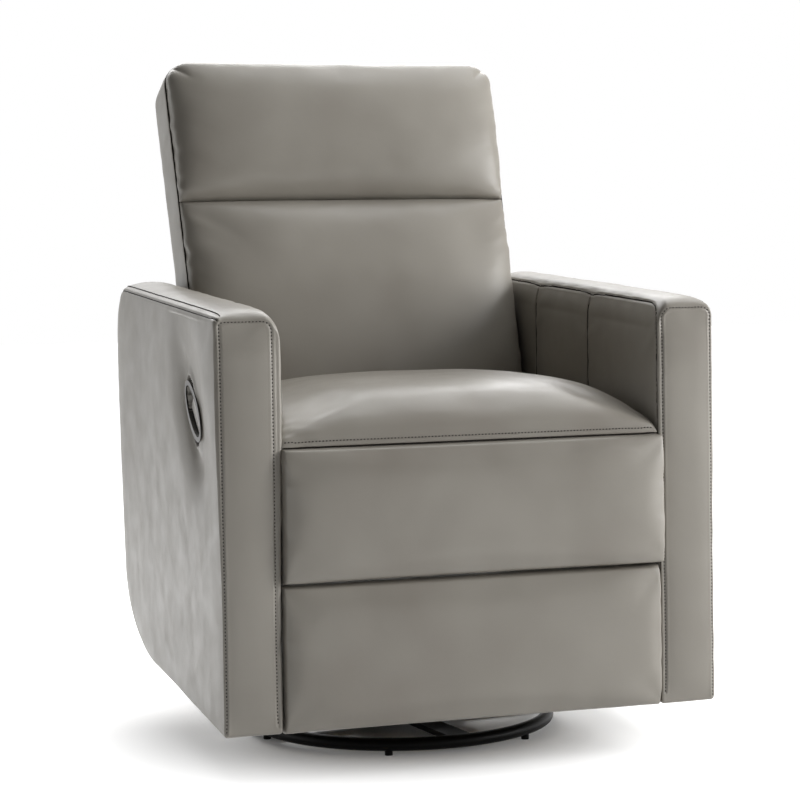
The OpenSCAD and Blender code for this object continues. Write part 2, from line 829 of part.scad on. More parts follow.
module seat_side_rails() {
    color(timber) both_sides() translate([rail_x, 0, 0]) difference() {
        translate([0, fy(rail_front_y), rail_low])
            cube([seat_rail_t, pivot_y + pivot_eye_r - rail_front_y, seat_rail_h]);
        translate([-rail_x, 0, 0])
            cross_rod(rail_x - overrun, rail_out_x + overrun, pivot_y, pivot_h, pivot_r);
    }
}

module seat_cross_board(y) {
    color(timber) translate([-rail_x, fy(y), rail_low]) cube([2*rail_x, seat_rail_t, seat_rail_h]);
}

seat_rear_rail_y = 440;
module seat_front_rail() { seat_cross_board(rail_front_y); }
module seat_rear_rail() { seat_cross_board(seat_rear_rail_y); }

// Sinuous springs: flat waves of wire from the front board to the rear one
wave_wire = 3.5;
wave_count = 9;
wave_reach = 18;
wave_steps = 6;
module sinuous_spring(x) {
    l = seat_rear_rail_y + seat_rail_t - rail_front_y - 2*wave_wire;
    n = wave_count*wave_steps;
    mid = [for (i = [0:n]) [x + wave_reach*sin(360*i/wave_steps), l*i/n]];
    slope = [for (i = [0:n]) unit([360*wave_reach*cos(360*i/wave_steps)*PI/180, l*wave_steps/n])];
    side = [for (s = slope) [s[1], -s[0]]*wave_wire/2];
    translate([0, fy(rail_front_y + wave_wire), rail_low + seat_rail_h])
        linear_extrude(wave_wire)
            polygon(concat([for (i = [0:n]) mid[i] + side[i]], flip([for (i = [0:n]) mid[i] - side[i]])));
}

module seat_springs() {
    pitch = 2*rail_x/seat_spring_count;
    color(steel) for (i = [0:seat_spring_count - 1])
        sinuous_spring(-rail_x + pitch*(i + 1/2));
}

foam_low = rail_low + seat_rail_h + wave_wire;
cushion_low = seat_seam_h - 2;
seat_k = [3, 3];
panel_k = [8, 5];

module seat_foam() {
    w = rail_out_x;
    color(foam) translate([-w, fy(rail_front_y), foam_low])
        cube([2*w, seat_l - rail_front_y, cushion_low - seat_clear - foam_low]);
}

module seat_cushion() {
    color(leather) translate([0, front, cushion_low])
        soft_block(2*part_x, seat_l, seat_seam_h - cushion_low, seat_crown, seat_k, 26, 26);
}

module seat_front_panel() {
    panel_l = cushion_low - seat_clear - seat_gap_h;
    color(leather) translate([0, fy(seat_panel_t), seat_gap_h]) rotate([90, 0, 0])
        soft_block(2*part_x, panel_l, seat_panel_t - seat_panel_bulge/2, 1.5*seat_panel_bulge,
            panel_k, 18, 16);
}

module back_hinge_pins() {
    color(steel) both_sides()
        cross_rod(rail_x, hinge_x + plate_t + pin_head_t/2, pivot_y, pivot_h, pivot_r);
}

// Back

back_wall = 14;
back_front_wall = 10;
back_board_w = 60;
back_board_t = 50;
hinge_w = 40;
hinge_l = 190;
lumbar_low = 60;
cushion_edge = 8;
back_k = [3.2, 3];
head_k = [3.6, 2.6];

// Local frame of the back: Z along its lean from its lower end, Y to the rear
module on_back() {
    translate([0, fy(back_low_y), back_low_h]) rotate([-back_lean, 0, 0]) children();
}

function back_half(z) = (back_low_w + (back_top_w - back_low_w)*z/back_l)/2;

// Outline of the back drawn in by d, with round upper corners
function back_profile(d) = let (r = back_corner_r - min(d, back_corner_r - overrun)) concat(
    [[-back_half(0) + d, d], [back_half(0) - d, d]],
    [for (i = [0:arc_steps]) let (a = 90*i/arc_steps)
        [back_half(back_l) - d - r + r*cos(a), back_l - d - r + r*sin(a)]],
    [for (i = [0:arc_steps]) let (a = 90 + 90*i/arc_steps)
        [-back_half(back_l) + d + r + r*cos(a), back_l - d - r + r*sin(a)]]);

module back_slab(y, t, d) {
    translate([0, y + t, 0]) rotate([90, 0, 0]) linear_extrude(t) polygon(back_profile(d));
}

module back_shell() {
    color(leather) difference() {
        on_back() difference() {
            back_slab(0, back_t, 0);
            back_slab(-overrun, back_t - back_wall + overrun, back_wall);
        }
        both_sides() side_plate(hinge_x, plate_t + overrun) hinge_outline();
    }
}

module back_foam() {
    color(foam) on_back()
        back_slab(back_front_wall, back_board_t, back_wall + back_board_w);
}

module back_frame() {
    color(timber) on_back() difference() {
        back_slab(back_front_wall, back_board_t, back_wall);
        back_slab(back_front_wall - overrun, back_board_t + 2*overrun, back_wall + back_board_w);
    }
}

// Steel hinge plates let into the sides of the shell, turning on the seat rails' pins
module hinge_outline() {
    top_y = back_low_y + hinge_l*sin(back_lean);
    top_h = back_low_h + hinge_l*cos(back_lean);
    difference() {
        union() {
            translate([pivot_y, pivot_h]) circle(pivot_eye_r, $fn = round_fn);
            polygon([
                [pivot_y - pivot_eye_r, pivot_h], [pivot_y + pivot_eye_r, pivot_h],
                [top_y + hinge_w, top_h], [top_y + hinge_w/4, top_h]]);
        }
        translate([pivot_y, pivot_h]) circle(pivot_r + run_clear, $fn = round_fn);
    }
}

module back_hinges() {
    color(steel) both_sides() side_plate(hinge_x, plate_t) hinge_outline();
}

module lumbar_cushion() {
    color(leather) on_back() rotate([90, 0, 0]) translate([0, lumbar_low, 0])
        soft_block(2*back_half(lumbar_low), headrest_seam_l - lumbar_low - seat_clear,
            cushion_edge, lumbar_bulge, back_k, 20, 20, 2*back_half(headrest_seam_l));
}

module headrest_cushion() {
    color(leather) on_back() rotate([90, 0, 0]) translate([0, headrest_seam_l, 0])
        soft_block(2*back_half(headrest_seam_l), back_l - headrest_seam_l,
            cushion_edge, headrest_bulge, head_k, 20, 16, 2*back_half(back_l));
}

base_ring();
cross_bars();
floor_glides();
lower_plate();
bearing_race();
centre_bolt();
base_screws();
upper_plate();
rocker_posts();
rocking_pin();
front_rocker_springs();
rear_rocker_springs();
rocker_hangers();
spring_plate();
front_cross_tube();
rear_cross_tube();
left_mech_plate();
right_mech_plate();
seat_runners();
left_arm_frame();
right_arm_frame();
left_arm_cover();
right_arm_cover();
left_arm_pad();
right_arm_pad();
drive_pins();
arm_screws();
handle_bezel();
release_cable();
latch_bracket();
latch_pin();
latch_shoe();
release_paddle();
paddle_pin();
left_drive_link();
right_drive_link();
torque_tube();
latch_drum();
knee_pins();
left_carry_link();
right_carry_link();
footrest_pins();
left_footrest_bracket();
right_footrest_bracket();
footrest_board();
footrest_cushion();
seat_side_rails();
seat_front_rail();
seat_rear_rail();
seat_springs();
seat_foam();
seat_cushion();
seat_front_panel();
back_hinge_pins();
back_hinges();
back_frame();
back_shell();
back_foam();
lumbar_cushion();
headrest_cushion();
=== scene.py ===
import math
import bpy
import numpy as np
from mathutils import Matrix, Vector, noise
from mathutils.bvhtree import BVHTree


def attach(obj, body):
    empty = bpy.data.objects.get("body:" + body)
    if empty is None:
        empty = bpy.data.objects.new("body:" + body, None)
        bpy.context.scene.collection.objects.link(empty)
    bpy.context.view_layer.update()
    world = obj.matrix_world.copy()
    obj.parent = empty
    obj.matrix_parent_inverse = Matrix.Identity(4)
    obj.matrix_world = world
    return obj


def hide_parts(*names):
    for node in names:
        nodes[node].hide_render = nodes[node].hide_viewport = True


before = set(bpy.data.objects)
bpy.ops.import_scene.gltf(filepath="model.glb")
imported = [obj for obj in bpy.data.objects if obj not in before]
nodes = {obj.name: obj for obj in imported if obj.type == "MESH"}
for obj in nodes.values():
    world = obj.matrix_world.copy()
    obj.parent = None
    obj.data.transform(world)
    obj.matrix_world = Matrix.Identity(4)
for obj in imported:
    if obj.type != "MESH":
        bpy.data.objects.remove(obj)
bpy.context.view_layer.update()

frontY = -0.410346  # plane of the arm fronts


def fromFront(y):
    return frontY + y / 1000


def srgb(r, g, b):
    def lin(c):
        c = c / 255
        return c / 12.92 if c <= 0.04045 else ((c + 0.055) / 1.055) ** 2.4
    return (lin(r), lin(g), lin(b), 1)


def newFinish(name):
    mat = bpy.data.materials.new(name)
    mat.use_nodes = True
    tree = mat.node_tree
    shader = tree.nodes["Principled BSDF"]
    coord = tree.nodes.new("ShaderNodeTexCoord")
    return mat, tree, shader, coord


def setInputs(node, values):
    for name, value in values.items():
        node.inputs[name].default_value = value


def addNoise(tree, coord, scale, detail, rough, stretch=None):
    tex = tree.nodes.new("ShaderNodeTexNoise")
    setInputs(tex, {"Scale": scale, "Detail": detail, "Roughness": rough})
    if stretch:
        mapping = tree.nodes.new("ShaderNodeMapping")
        setInputs(mapping, {"Scale": stretch})
        tree.links.new(coord.outputs["Object"], mapping.inputs["Vector"])
        tree.links.new(mapping.outputs["Vector"], tex.inputs["Vector"])
    else:
        tree.links.new(coord.outputs["Object"], tex.inputs["Vector"])
    return tex


def addRamp(tree, source, stops):
    ramp = tree.nodes.new("ShaderNodeValToRGB")
    ramp.color_ramp.elements[0].position, ramp.color_ramp.elements[0].color = stops[0]
    ramp.color_ramp.elements[1].position, ramp.color_ramp.elements[1].color = stops[-1]
    for place, colour in stops[1:-1]:
        ramp.color_ramp.elements.new(place).color = colour
    tree.links.new(source, ramp.inputs["Fac"])
    return ramp


def addRange(tree, source, low, high, start=0.3, end=0.7):
    # a pattern's span, which for noise is about 0.3 to 0.7, spread from low to high
    span = tree.nodes.new("ShaderNodeMapRange")
    setInputs(span, {"From Min": start, "From Max": end, "To Min": low, "To Max": high})
    tree.links.new(source, span.inputs["Value"])
    return span


def addBump(tree, source, strength, distance, below=None):
    bump = tree.nodes.new("ShaderNodeBump")
    setInputs(bump, {"Strength": strength, "Distance": distance})
    tree.links.new(source, bump.inputs["Height"])
    if below:
        tree.links.new(below.outputs["Normal"], bump.inputs["Normal"])
    return bump


def dress(tree, shader, source, look):
    # colour and relief that follow one pattern
    low, high = look.get("stops", (0.35, 0.65))
    tone = addRamp(tree, source, [(low, look["dark"]), (high, look["light"])])
    tree.links.new(tone.outputs["Color"], shader.inputs["Base Color"])
    bump = addBump(tree, source, look.get("relief", 0.3), look["depth"])
    tree.links.new(bump.outputs["Normal"], shader.inputs["Normal"])
    setInputs(shader, {"Specular IOR Level": look.get("specular", 0.5), "Roughness": look.get("rough", 0.5)})


leatherFinish = {
    "light": srgb(160, 155, 146), "mid": srgb(152, 147, 138), "dark": srgb(143, 137, 128),
    "gloss": (0.33, 0.44), "specular": 0.5,
    "blotchSize": 4.5, "sheenSize": 22, "creaseSize": 26, "grainSize": 900,
    "creaseRelief": 0.35, "creaseDepth": 0.0009, "grainRelief": 0.5, "grainDepth": 0.00018,
}


def makeLeather():
    look = leatherFinish
    mat, tree, shader, coord = newFinish("taupeLeather")
    blotch = addNoise(tree, coord, look["blotchSize"], 2.0, 0.55)
    stops = [(0.3, look["dark"]), (0.5, look["mid"]), (0.72, look["light"])]
    tone = addRamp(tree, blotch.outputs["Fac"], stops)
    tree.links.new(tone.outputs["Color"], shader.inputs["Base Color"])
    sheen = addNoise(tree, coord, look["sheenSize"], 2.0, 0.6)
    gloss = addRange(tree, sheen.outputs["Fac"], *look["gloss"])
    tree.links.new(gloss.outputs["Result"], shader.inputs["Roughness"])
    setInputs(shader, {"Specular IOR Level": look["specular"]})
    crease = addNoise(tree, coord, look["creaseSize"], 2.0, 0.6)
    creaseBump = addBump(tree, crease.outputs["Fac"], look["creaseRelief"], look["creaseDepth"])
    pores = addNoise(tree, coord, look["grainSize"], 1.0, 0.5)
    grainBump = addBump(tree, pores.outputs["Fac"], look["grainRelief"], look["grainDepth"], creaseBump)
    tree.links.new(grainBump.outputs["Normal"], shader.inputs["Normal"])
    return mat


threadFinish = {"light": srgb(62, 56, 50), "dark": srgb(44, 39, 35), "stops": (0.2, 0.8), "twist": 2600,
                "relief": 0.5, "depth": 0.0002, "rough": 0.62}


def makeThread():
    mat, tree, shader, coord = newFinish("upholsteryThread")
    twist = tree.nodes.new("ShaderNodeTexWave")
    twist.inputs["Scale"].default_value = threadFinish["twist"]
    tree.links.new(coord.outputs["Object"], twist.inputs["Vector"])
    dress(tree, shader, twist.outputs["Fac"], threadFinish)
    return mat


metalFinishes = {
    "powderCoat": {"light": srgb(11, 11, 11), "dark": srgb(6, 6, 6), "metal": 0.0, "specular": 0.12,
                   "gloss": (0.34, 0.48), "scale": 900, "depth": 0.00012},
    "zincSteel": {"light": srgb(164, 163, 160), "dark": srgb(120, 119, 117), "metal": 1.0,
                  "gloss": (0.28, 0.5), "scale": 120, "depth": 0.00006},
    "springSteel": {"light": srgb(96, 94, 92), "dark": srgb(58, 57, 56), "metal": 1.0,
                    "gloss": (0.3, 0.45), "scale": 200, "depth": 0.00005},
    "handleNickel": {"light": srgb(84, 82, 79), "dark": srgb(64, 62, 60), "metal": 0.5,
                     "gloss": (0.3, 0.42), "scale": 240, "depth": 0.00003},
    "handleLever": {"light": srgb(226, 223, 217), "dark": srgb(204, 201, 195), "metal": 0.0,
                    "gloss": (0.32, 0.45), "scale": 300, "depth": 0.00004},
    "blackSheath": {"light": srgb(34, 33, 33), "dark": srgb(22, 21, 21), "metal": 0.0,
                    "gloss": (0.45, 0.6), "scale": 400, "depth": 0.00008},
}


def makeMetal(name):
    look = metalFinishes[name]
    mat, tree, shader, coord = newFinish(name)
    mottle = addNoise(tree, coord, look["scale"], 4.0, 0.6)
    dress(tree, shader, mottle.outputs["Fac"], look)
    shader.inputs["Metallic"].default_value = look["metal"]
    gloss = addRange(tree, mottle.outputs["Fac"], *look["gloss"])
    tree.links.new(gloss.outputs["Result"], shader.inputs["Roughness"])
    return mat


timberFinish = {"light": srgb(214, 184, 140), "dark": srgb(178, 142, 98), "lines": 34,
                "stretch": (1.0, 0.18, 2.4), "depth": 0.0004, "rough": 0.66}


def makeTimber():
    mat, tree, shader, coord = newFinish("framePlywood")
    figure = addNoise(tree, coord, timberFinish["lines"], 6.0, 0.6, timberFinish["stretch"])
    dress(tree, shader, figure.outputs["Fac"], timberFinish)
    return mat


foamFinish = {"light": srgb(238, 228, 188), "dark": srgb(214, 198, 146), "stops": (0.1, 0.7), "cells": 700,
              "relief": 0.6, "depth": 0.0008, "rough": 0.9}


def makeFoam():
    mat, tree, shader, coord = newFinish("seatFoam")
    cells = tree.nodes.new("ShaderNodeTexVoronoi")
    cells.inputs["Scale"].default_value = foamFinish["cells"]
    tree.links.new(coord.outputs["Object"], cells.inputs["Vector"])
    dress(tree, shader, cells.outputs["Distance"], foamFinish)
    return mat


# painted shade: these dark colours stand in for the shadow in the seams' grooves
seamShadeFinish = {"light": srgb(44, 39, 35), "dark": srgb(26, 22, 19), "size": 300,
              "relief": 0.4, "depth": 0.0002, "rough": 0.75, "specular": 0.15}


def makeSeamShade():
    # painted shade: a dark finish for the cord that stands in for the shadow down in a seam
    mat, tree, shader, coord = newFinish("paintedSeamShade")
    mottle = addNoise(tree, coord, seamShadeFinish["size"], 2.0, 0.5)
    dress(tree, shader, mottle.outputs["Fac"], seamShadeFinish)
    return mat


leather = makeLeather()
seamShade = makeSeamShade()
thread = makeThread()
metals = {name: makeMetal(name) for name in metalFinishes}
plywood = makeTimber()
foam = makeFoam()
print("finishes made")

nodeFinishes = {
    metals["powderCoat"]: ["base_ring", "cross_bars", "floor_glides", "rocker_posts", "rocker_hangers",
                           "front_cross_tube", "rear_cross_tube", "upper_plate", "spring_plate"],
    metals["zincSteel"]: ["lower_plate", "bearing_race", "centre_bolt", "base_screws", "rocking_pin",
                          "left_mech_plate", "right_mech_plate", "seat_runners", "drive_pins", "arm_screws",
                          "latch_bracket", "latch_pin", "latch_shoe", "left_drive_link", "right_drive_link",
                          "torque_tube", "latch_drum", "knee_pins", "left_carry_link", "right_carry_link",
                          "footrest_pins", "left_footrest_bracket", "right_footrest_bracket",
                          "back_hinge_pins", "back_hinges", "paddle_pin"],
    metals["springSteel"]: ["front_rocker_springs", "rear_rocker_springs", "seat_springs"],
    metals["handleNickel"]: ["handle_bezel"],
    metals["handleLever"]: ["release_paddle"],
    metals["blackSheath"]: ["release_cable"],
    plywood: ["left_arm_frame", "right_arm_frame", "footrest_board", "seat_side_rails",
              "seat_front_rail", "seat_rear_rail", "back_frame"],
    foam: ["seat_foam", "back_foam"],
    leather: ["left_arm_cover", "right_arm_cover", "left_arm_pad", "right_arm_pad", "footrest_cushion",
              "seat_cushion", "seat_front_panel", "back_shell", "lumbar_cushion", "headrest_cushion"],
}
for finish, names in nodeFinishes.items():
    for name in names:
        nodes[name].data.materials.clear()
        nodes[name].data.materials.append(finish)


def addPiece(name, points, faces, finish, body, place=None):
    mesh = bpy.data.meshes.new(name)
    mesh.from_pydata([tuple(p) for p in points], [], [tuple(f) for f in faces])
    if place:
        mesh.transform(place)
    mesh.materials.append(finish)
    mesh.polygons.foreach_set("use_smooth", [True] * len(mesh.polygons))
    mesh.update()
    piece = bpy.data.objects.new(name, mesh)
    bpy.context.scene.collection.objects.link(piece)
    if body:
        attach(piece, body)
    return piece


def readMesh(piece):
    mesh = piece.data
    mesh.update()
    spots, normals = np.empty(len(mesh.vertices) * 3), np.empty(len(mesh.vertices) * 3)
    mesh.vertices.foreach_get("co", spots)
    mesh.vertices.foreach_get("normal", normals)
    return spots.reshape(-1, 3), normals.reshape(-1, 3)


def writeMesh(piece, spots):
    piece.data.vertices.foreach_set("co", spots.ravel())
    piece.data.update()


def ripple(piece, depth, scale, seed, hold=None, stretch=(1, 1, 1)):
    # slow unevenness of stuffed leather, in metres; hold keeps some points still
    spots, normals = readMesh(piece)
    lifts = np.zeros(len(spots))
    for k, at in enumerate(spots * np.array(stretch)):
        if hold is None or hold[k]:
            at = Vector(at) * scale
            lifts[k] = noise.noise(at + Vector((seed, seed * 0.7, seed * 1.3)))
            lifts[k] += 0.4 * noise.noise(at * 2.6 + Vector((seed * 2, 0, seed)))
    if hold is not None:
        lifts *= np.array(hold)
    writeMesh(piece, spots + normals * lifts[:, None] * depth)


def evenly(line, step):
    # the line again, as points a step apart
    line = [Vector(p) for p in line]
    points, left = [line[0]], step
    for a, b in zip(line, line[1:]):
        span = (b - a).length
        at = left
        while at < span:
            points.append(a.lerp(b, at / span))
            at += step
        left = at - span
    return points


def nearLine(spots, line, reach):
    # how far each point is from the line, and where along it, within reach
    line = np.array([tuple(p) for p in line])
    run = np.concatenate([[0], np.cumsum(np.linalg.norm(np.diff(line, axis=0), axis=1))])
    away, along = np.full(len(spots), 9.0), np.zeros(len(spots))
    box = ((spots > line.min(0) - reach) & (spots < line.max(0) + reach)).all(1)
    for first in range(0, int(box.sum()), 4000):
        ids = np.flatnonzero(box)[first:first + 4000]
        gaps = np.linalg.norm(spots[ids][:, None] - line[None], axis=2)
        away[ids] = gaps.min(1)
        along[ids] = run[gaps.argmin(1)]
    return away, along


def pressSeam(piece, lines, profile):
    # profile: (mm from the seam, mm outwards)
    spots, normals = readMesh(piece)
    steps, lifts = zip(*profile)
    total = np.zeros(len(spots))
    for line in lines:
        away, _ = nearLine(spots, evenly(line, 0.0012), steps[-1] / 1000)
        lift = np.interp(away * 1000, steps, lifts, right=0)
        total = np.where(np.abs(lift) > np.abs(total), lift, total)
    writeMesh(piece, spots + normals * total[:, None] / 1000)


def gather(piece, lines, depth, pitch, reach, seed, skew=0.6):
    # pull marks that run away from a sewn edge, in metres
    spots, normals = readMesh(piece)
    total = np.zeros(len(spots))
    for k, line in enumerate(lines):
        away, along = nearLine(spots, evenly(line, 0.002), reach * 4)
        for i in np.flatnonzero(away < reach * 4):
            t = (along[i] + skew * away[i]) / pitch
            wave = noise.noise(Vector((t, seed + 3 * k, away[i] * 12)))
            wave *= 0.4 + 1.4 * max(0, noise.noise(Vector((t * 0.22, seed + 7, 0))) + 0.35)
            total[i] += wave * math.exp(-away[i] / reach) * away[i] / (away[i] + 0.003)
    writeMesh(piece, spots + normals * total[:, None] * depth)


def bakeShape(piece):
    graph = bpy.context.evaluated_depsgraph_get()
    mesh, old = bpy.data.meshes.new_from_object(piece.evaluated_get(graph)), piece.data
    piece.modifiers.clear()
    piece.data = mesh
    mesh.polygons.foreach_set("use_smooth", [True] * len(mesh.polygons))
    bpy.data.meshes.remove(old)


def surfaceOf(piece):
    spots = [v.co.copy() for v in piece.data.vertices]
    return BVHTree.FromPolygons(spots, [tuple(p.vertices) for p in piece.data.polygons])


def layOn(surface, line, step=0.0035):
    # the line laid on a surface: its points and the surface normals there
    points, normals = [], []
    for spot in evenly(line, step):
        at, up, _, _ = surface.find_nearest(spot)
        points.append(at)
        normals.append(up)
    return points, normals


stitchSize = {"pitch": 0.0050, "length": 0.0028, "radius": 0.00085, "sunk": 0.1, "dive": 1.2, "sides": 6,
              "rings": [(-0.5, 0.3), (-0.3, 0.9), (0.0, 1.0), (0.3, 0.9), (0.5, 0.3)]}
# size of the dark cords of painted seam shade
shadeCordSize = {"sunk": 0.3, "sides": 6}


def squared(heading, up):
    # the side, and an up that stands square to it and to the heading
    side = heading.cross(up).normalized()
    return side, side.cross(heading).normalized()


def spokes(side, up, sides):
    turns = [2 * math.pi * k / sides for k in range(sides)]
    return [side * math.cos(turn) + up * math.sin(turn) for turn in turns]


def tubeFaces(first, rings, sides):
    # walls and ends of a tube whose rings of points start at first
    faces = []
    for r in range(rings - 1):
        for k in range(sides):
            a, b = first + r * sides + k, first + r * sides + (k + 1) % sides
            faces.append((a, b, b + sides, a + sides))
    last = first + (rings - 1) * sides
    return faces + [tuple(first + k for k in reversed(range(sides))), tuple(last + k for k in range(sides))]


def sewStitches(name, runs, body):
    # runs: (points, normals) on the leather; each stitch is a short bead whose ends dive in
    sides, size, rings = stitchSize["sides"], stitchSize["radius"], stitchSize["rings"]
    points, faces = [], []
    for linePoints, lineNormals in runs:
        left = stitchSize["pitch"] / 2
        for i in range(len(linePoints) - 1):
            a, b = linePoints[i], linePoints[i + 1]
            span = (b - a).length
            at = left
            while at < span:
                heading = (b - a).normalized()
                side, up = squared(heading, lineNormals[i].lerp(lineNormals[i + 1], at / span))
                centre = a.lerp(b, at / span) + up * size * (1 - 2 * stitchSize["sunk"])
                faces += tubeFaces(len(points), len(rings), sides)
                for along, swell in rings:
                    dip = (abs(along) * 2) ** 3 * size * stitchSize["dive"]
                    middle = centre + heading * along * stitchSize["length"] - up * dip
                    points += [middle + spoke * size * swell for spoke in spokes(side, up, sides)]
                at += stitchSize["pitch"]
            left = at - span
    addPiece(name, points, faces, thread, body)


def layShadeCord(name, runs, radius, body):
    # the dark line of a seam, as painted shade: a thin dark cord sunk in the groove, standing in for the
    # shadow there
    points, faces, sides = [], [], shadeCordSize["sides"]
    for linePoints, lineNormals in runs:
        n = len(linePoints)
        faces += tubeFaces(len(points), n, sides)
        for i, at in enumerate(linePoints):
            heading = (linePoints[min(i + 1, n - 1)] - linePoints[max(i - 1, 0)]).normalized()
            side, up = squared(heading, lineNormals[i])
            middle = at - up * radius * shadeCordSize["sunk"]
            points += [middle + spoke * radius for spoke in spokes(side, up, sides)]
    addPiece(name, points, faces, seamShade, body)


armShape = {  # mm; -1 is the left arm and 1 the right one
    "outerX": 370, "innerX": 286, "depth": 739, "frontHigh": 658, "rise": 28, "clear": 78, "bellyRise": 21,
    "sweepLong": 265, "sweepHigh": 136, "rearRound": 60, "frontRound": 7, "toeRound": 6, "lowRound": 5,
    "innerRound": 20, "innerRoundHigh": 34, "outerRound": {-1: 7, 1: 14}, "faceRound": 3.5, "rearEdge": 10,
    "topCrown": 14, "frontCrown": 4, "rearCrown": 2, "sidePuff": 3.0, "panelPuff": 5.0,
    "panelSeamShade": (277, 510), "puffFrom": 470, "puffOver": 80,
    "innerStrip": {-1: 7, 1: 4.5}, "outerStrip": 2.2, "capSeam": 2.5, "ridge": 6.5, "seamLow": 84,
    "lift": {-1: 0.5, 1: 5}, "flare": {-1: 5.5, 1: 1.5}, "flareFrom": 200, "flareOver": 380,
}
handle = {  # mm; the mesh is finer along and up the arm where the handle is, up as shares of its height
    "back": 172, "high": 522, "half": 58, "halfWide": 26, "tilt": 36, "pocket": 29, "dish": 3.4, "groove": 5,
    "fineAlong": (112, 236), "fineUp": (0.64, 0.88),
}


def spaced(stops):
    # places between (place, spacing) stops
    line = []
    for (a, step), (b, _) in zip(stops, stops[1:]):
        n = max(1, round((b - a) / step))
        line += [a + (b - a) * i / n for i in range(n)]
    return np.array(line + [stops[-1][0]])


def quarter(radius, gone):
    # how far a rounded edge falls away, at a distance gone from its face
    return radius - math.sqrt(max(0, radius ** 2 - max(0, radius - gone) ** 2))


def armTop(side, y):
    a = armShape
    straight = a["depth"] - a["rearRound"]
    high = a["frontHigh"] + a["lift"][side] + a["rise"] * min(y, straight) / straight
    return high - quarter(a["frontRound"], y) - quarter(a["rearRound"], a["depth"] - y)


def armBelly(y):
    a = armShape
    start = a["depth"] - a["sweepLong"]
    if y <= start:
        return a["clear"] + a["bellyRise"] * y / start + quarter(a["toeRound"], y)
    swing = math.sqrt(max(0, 1 - ((y - start) / a["sweepLong"]) ** 2))
    return a["clear"] + a["bellyRise"] + a["sweepHigh"] * (1 - swing)


def armPlace(side, x, y, z):
    return Vector((side * (armShape["outerX"] - x) / 1000, fromFront(y), z / 1000))


def armFlare(side, z):
    # the padding stands wider towards the top
    up = min(1, max(0, (z - armShape["flareFrom"]) / armShape["flareOver"]))
    return armShape["flare"][side] * up * up * (3 - 2 * up)


def aroundHandle(y, z, puff, flare):
    # a pocket behind the bezel, and round it a hollow with a groove
    h = handle
    turn = math.radians(h["tilt"])
    dy, dz = y - h["back"], z - h["high"]
    u = dz * math.cos(turn) + dy * math.sin(turn)
    v = dy * math.cos(turn) - dz * math.sin(turn)
    ring = math.hypot(u / h["half"], v / h["halfWide"])
    if ring < 0.985:
        return -h["pocket"] - flare
    reach = 48 - 15 * math.tanh(v / 40)  # the hollow is steeper behind the handle
    near = math.exp(-(max(0, math.hypot(u * 0.55, v) - 38) / reach) ** 2)
    puff += (-h["dish"] - flare - puff) * near
    puff -= h["groove"] * math.exp(-((ring - 1.6) / 0.42) ** 2) * (1 + math.tanh(v / 12)) / 2
    if ring < 1.3:
        puff += (h["dish"] - 0.5) * (1.3 - ring) / 0.3
    return puff


def outerPuff(side, y, z, inside):
    puff = armShape["sidePuff"] * (1 - math.exp(-inside / 30))
    return puff if side > 0 else aroundHandle(y, z, puff, armFlare(side, z))


def innerPuff(y, z, inside):
    # each panel swells between its seams, and is flat where the cushions stand against it
    a = armShape
    bounds = [0, *a["panelSeamShade"], a["depth"]]
    start, end = [(p, q) for p, q in zip(bounds, bounds[1:]) if p <= y <= q + 1e-6][0]
    t = (y - start) / (end - start)
    puff = a["panelPuff"] * max(0, math.sin(math.pi * t)) ** 0.42 * (1 - math.exp(-inside / 26))
    return puff * min(1, max(0, (z - a["puffFrom"]) / a["puffOver"]))


def armGrid(side):
    # stations back along the arm and shares of its height, closer where seams and the handle are
    a = armShape
    rear = a["depth"] - a["rearRound"]
    back, up = [(a["frontRound"], 5)], [(0, 0.003), (0.02, 0.015)]
    if side < 0:
        back += zip(handle["fineAlong"], (2.8, 6))
        up += zip(handle["fineUp"], (0.0048, 0.01))
    for seam in a["panelSeamShade"]:
        back += [(seam - 12, 1.4), (seam + 12, 8)]
    arc = np.radians(np.linspace(0, 90, 8))
    stations = np.concatenate([a["frontRound"] * (1 - np.cos(arc[:-1])), spaced(back + [(rear, 0)]),
                               rear + a["rearRound"] * np.sin(np.radians(np.linspace(5, 90, 18)))])
    return stations, spaced(up + [(0.945, 0.0026), (1, 0)])


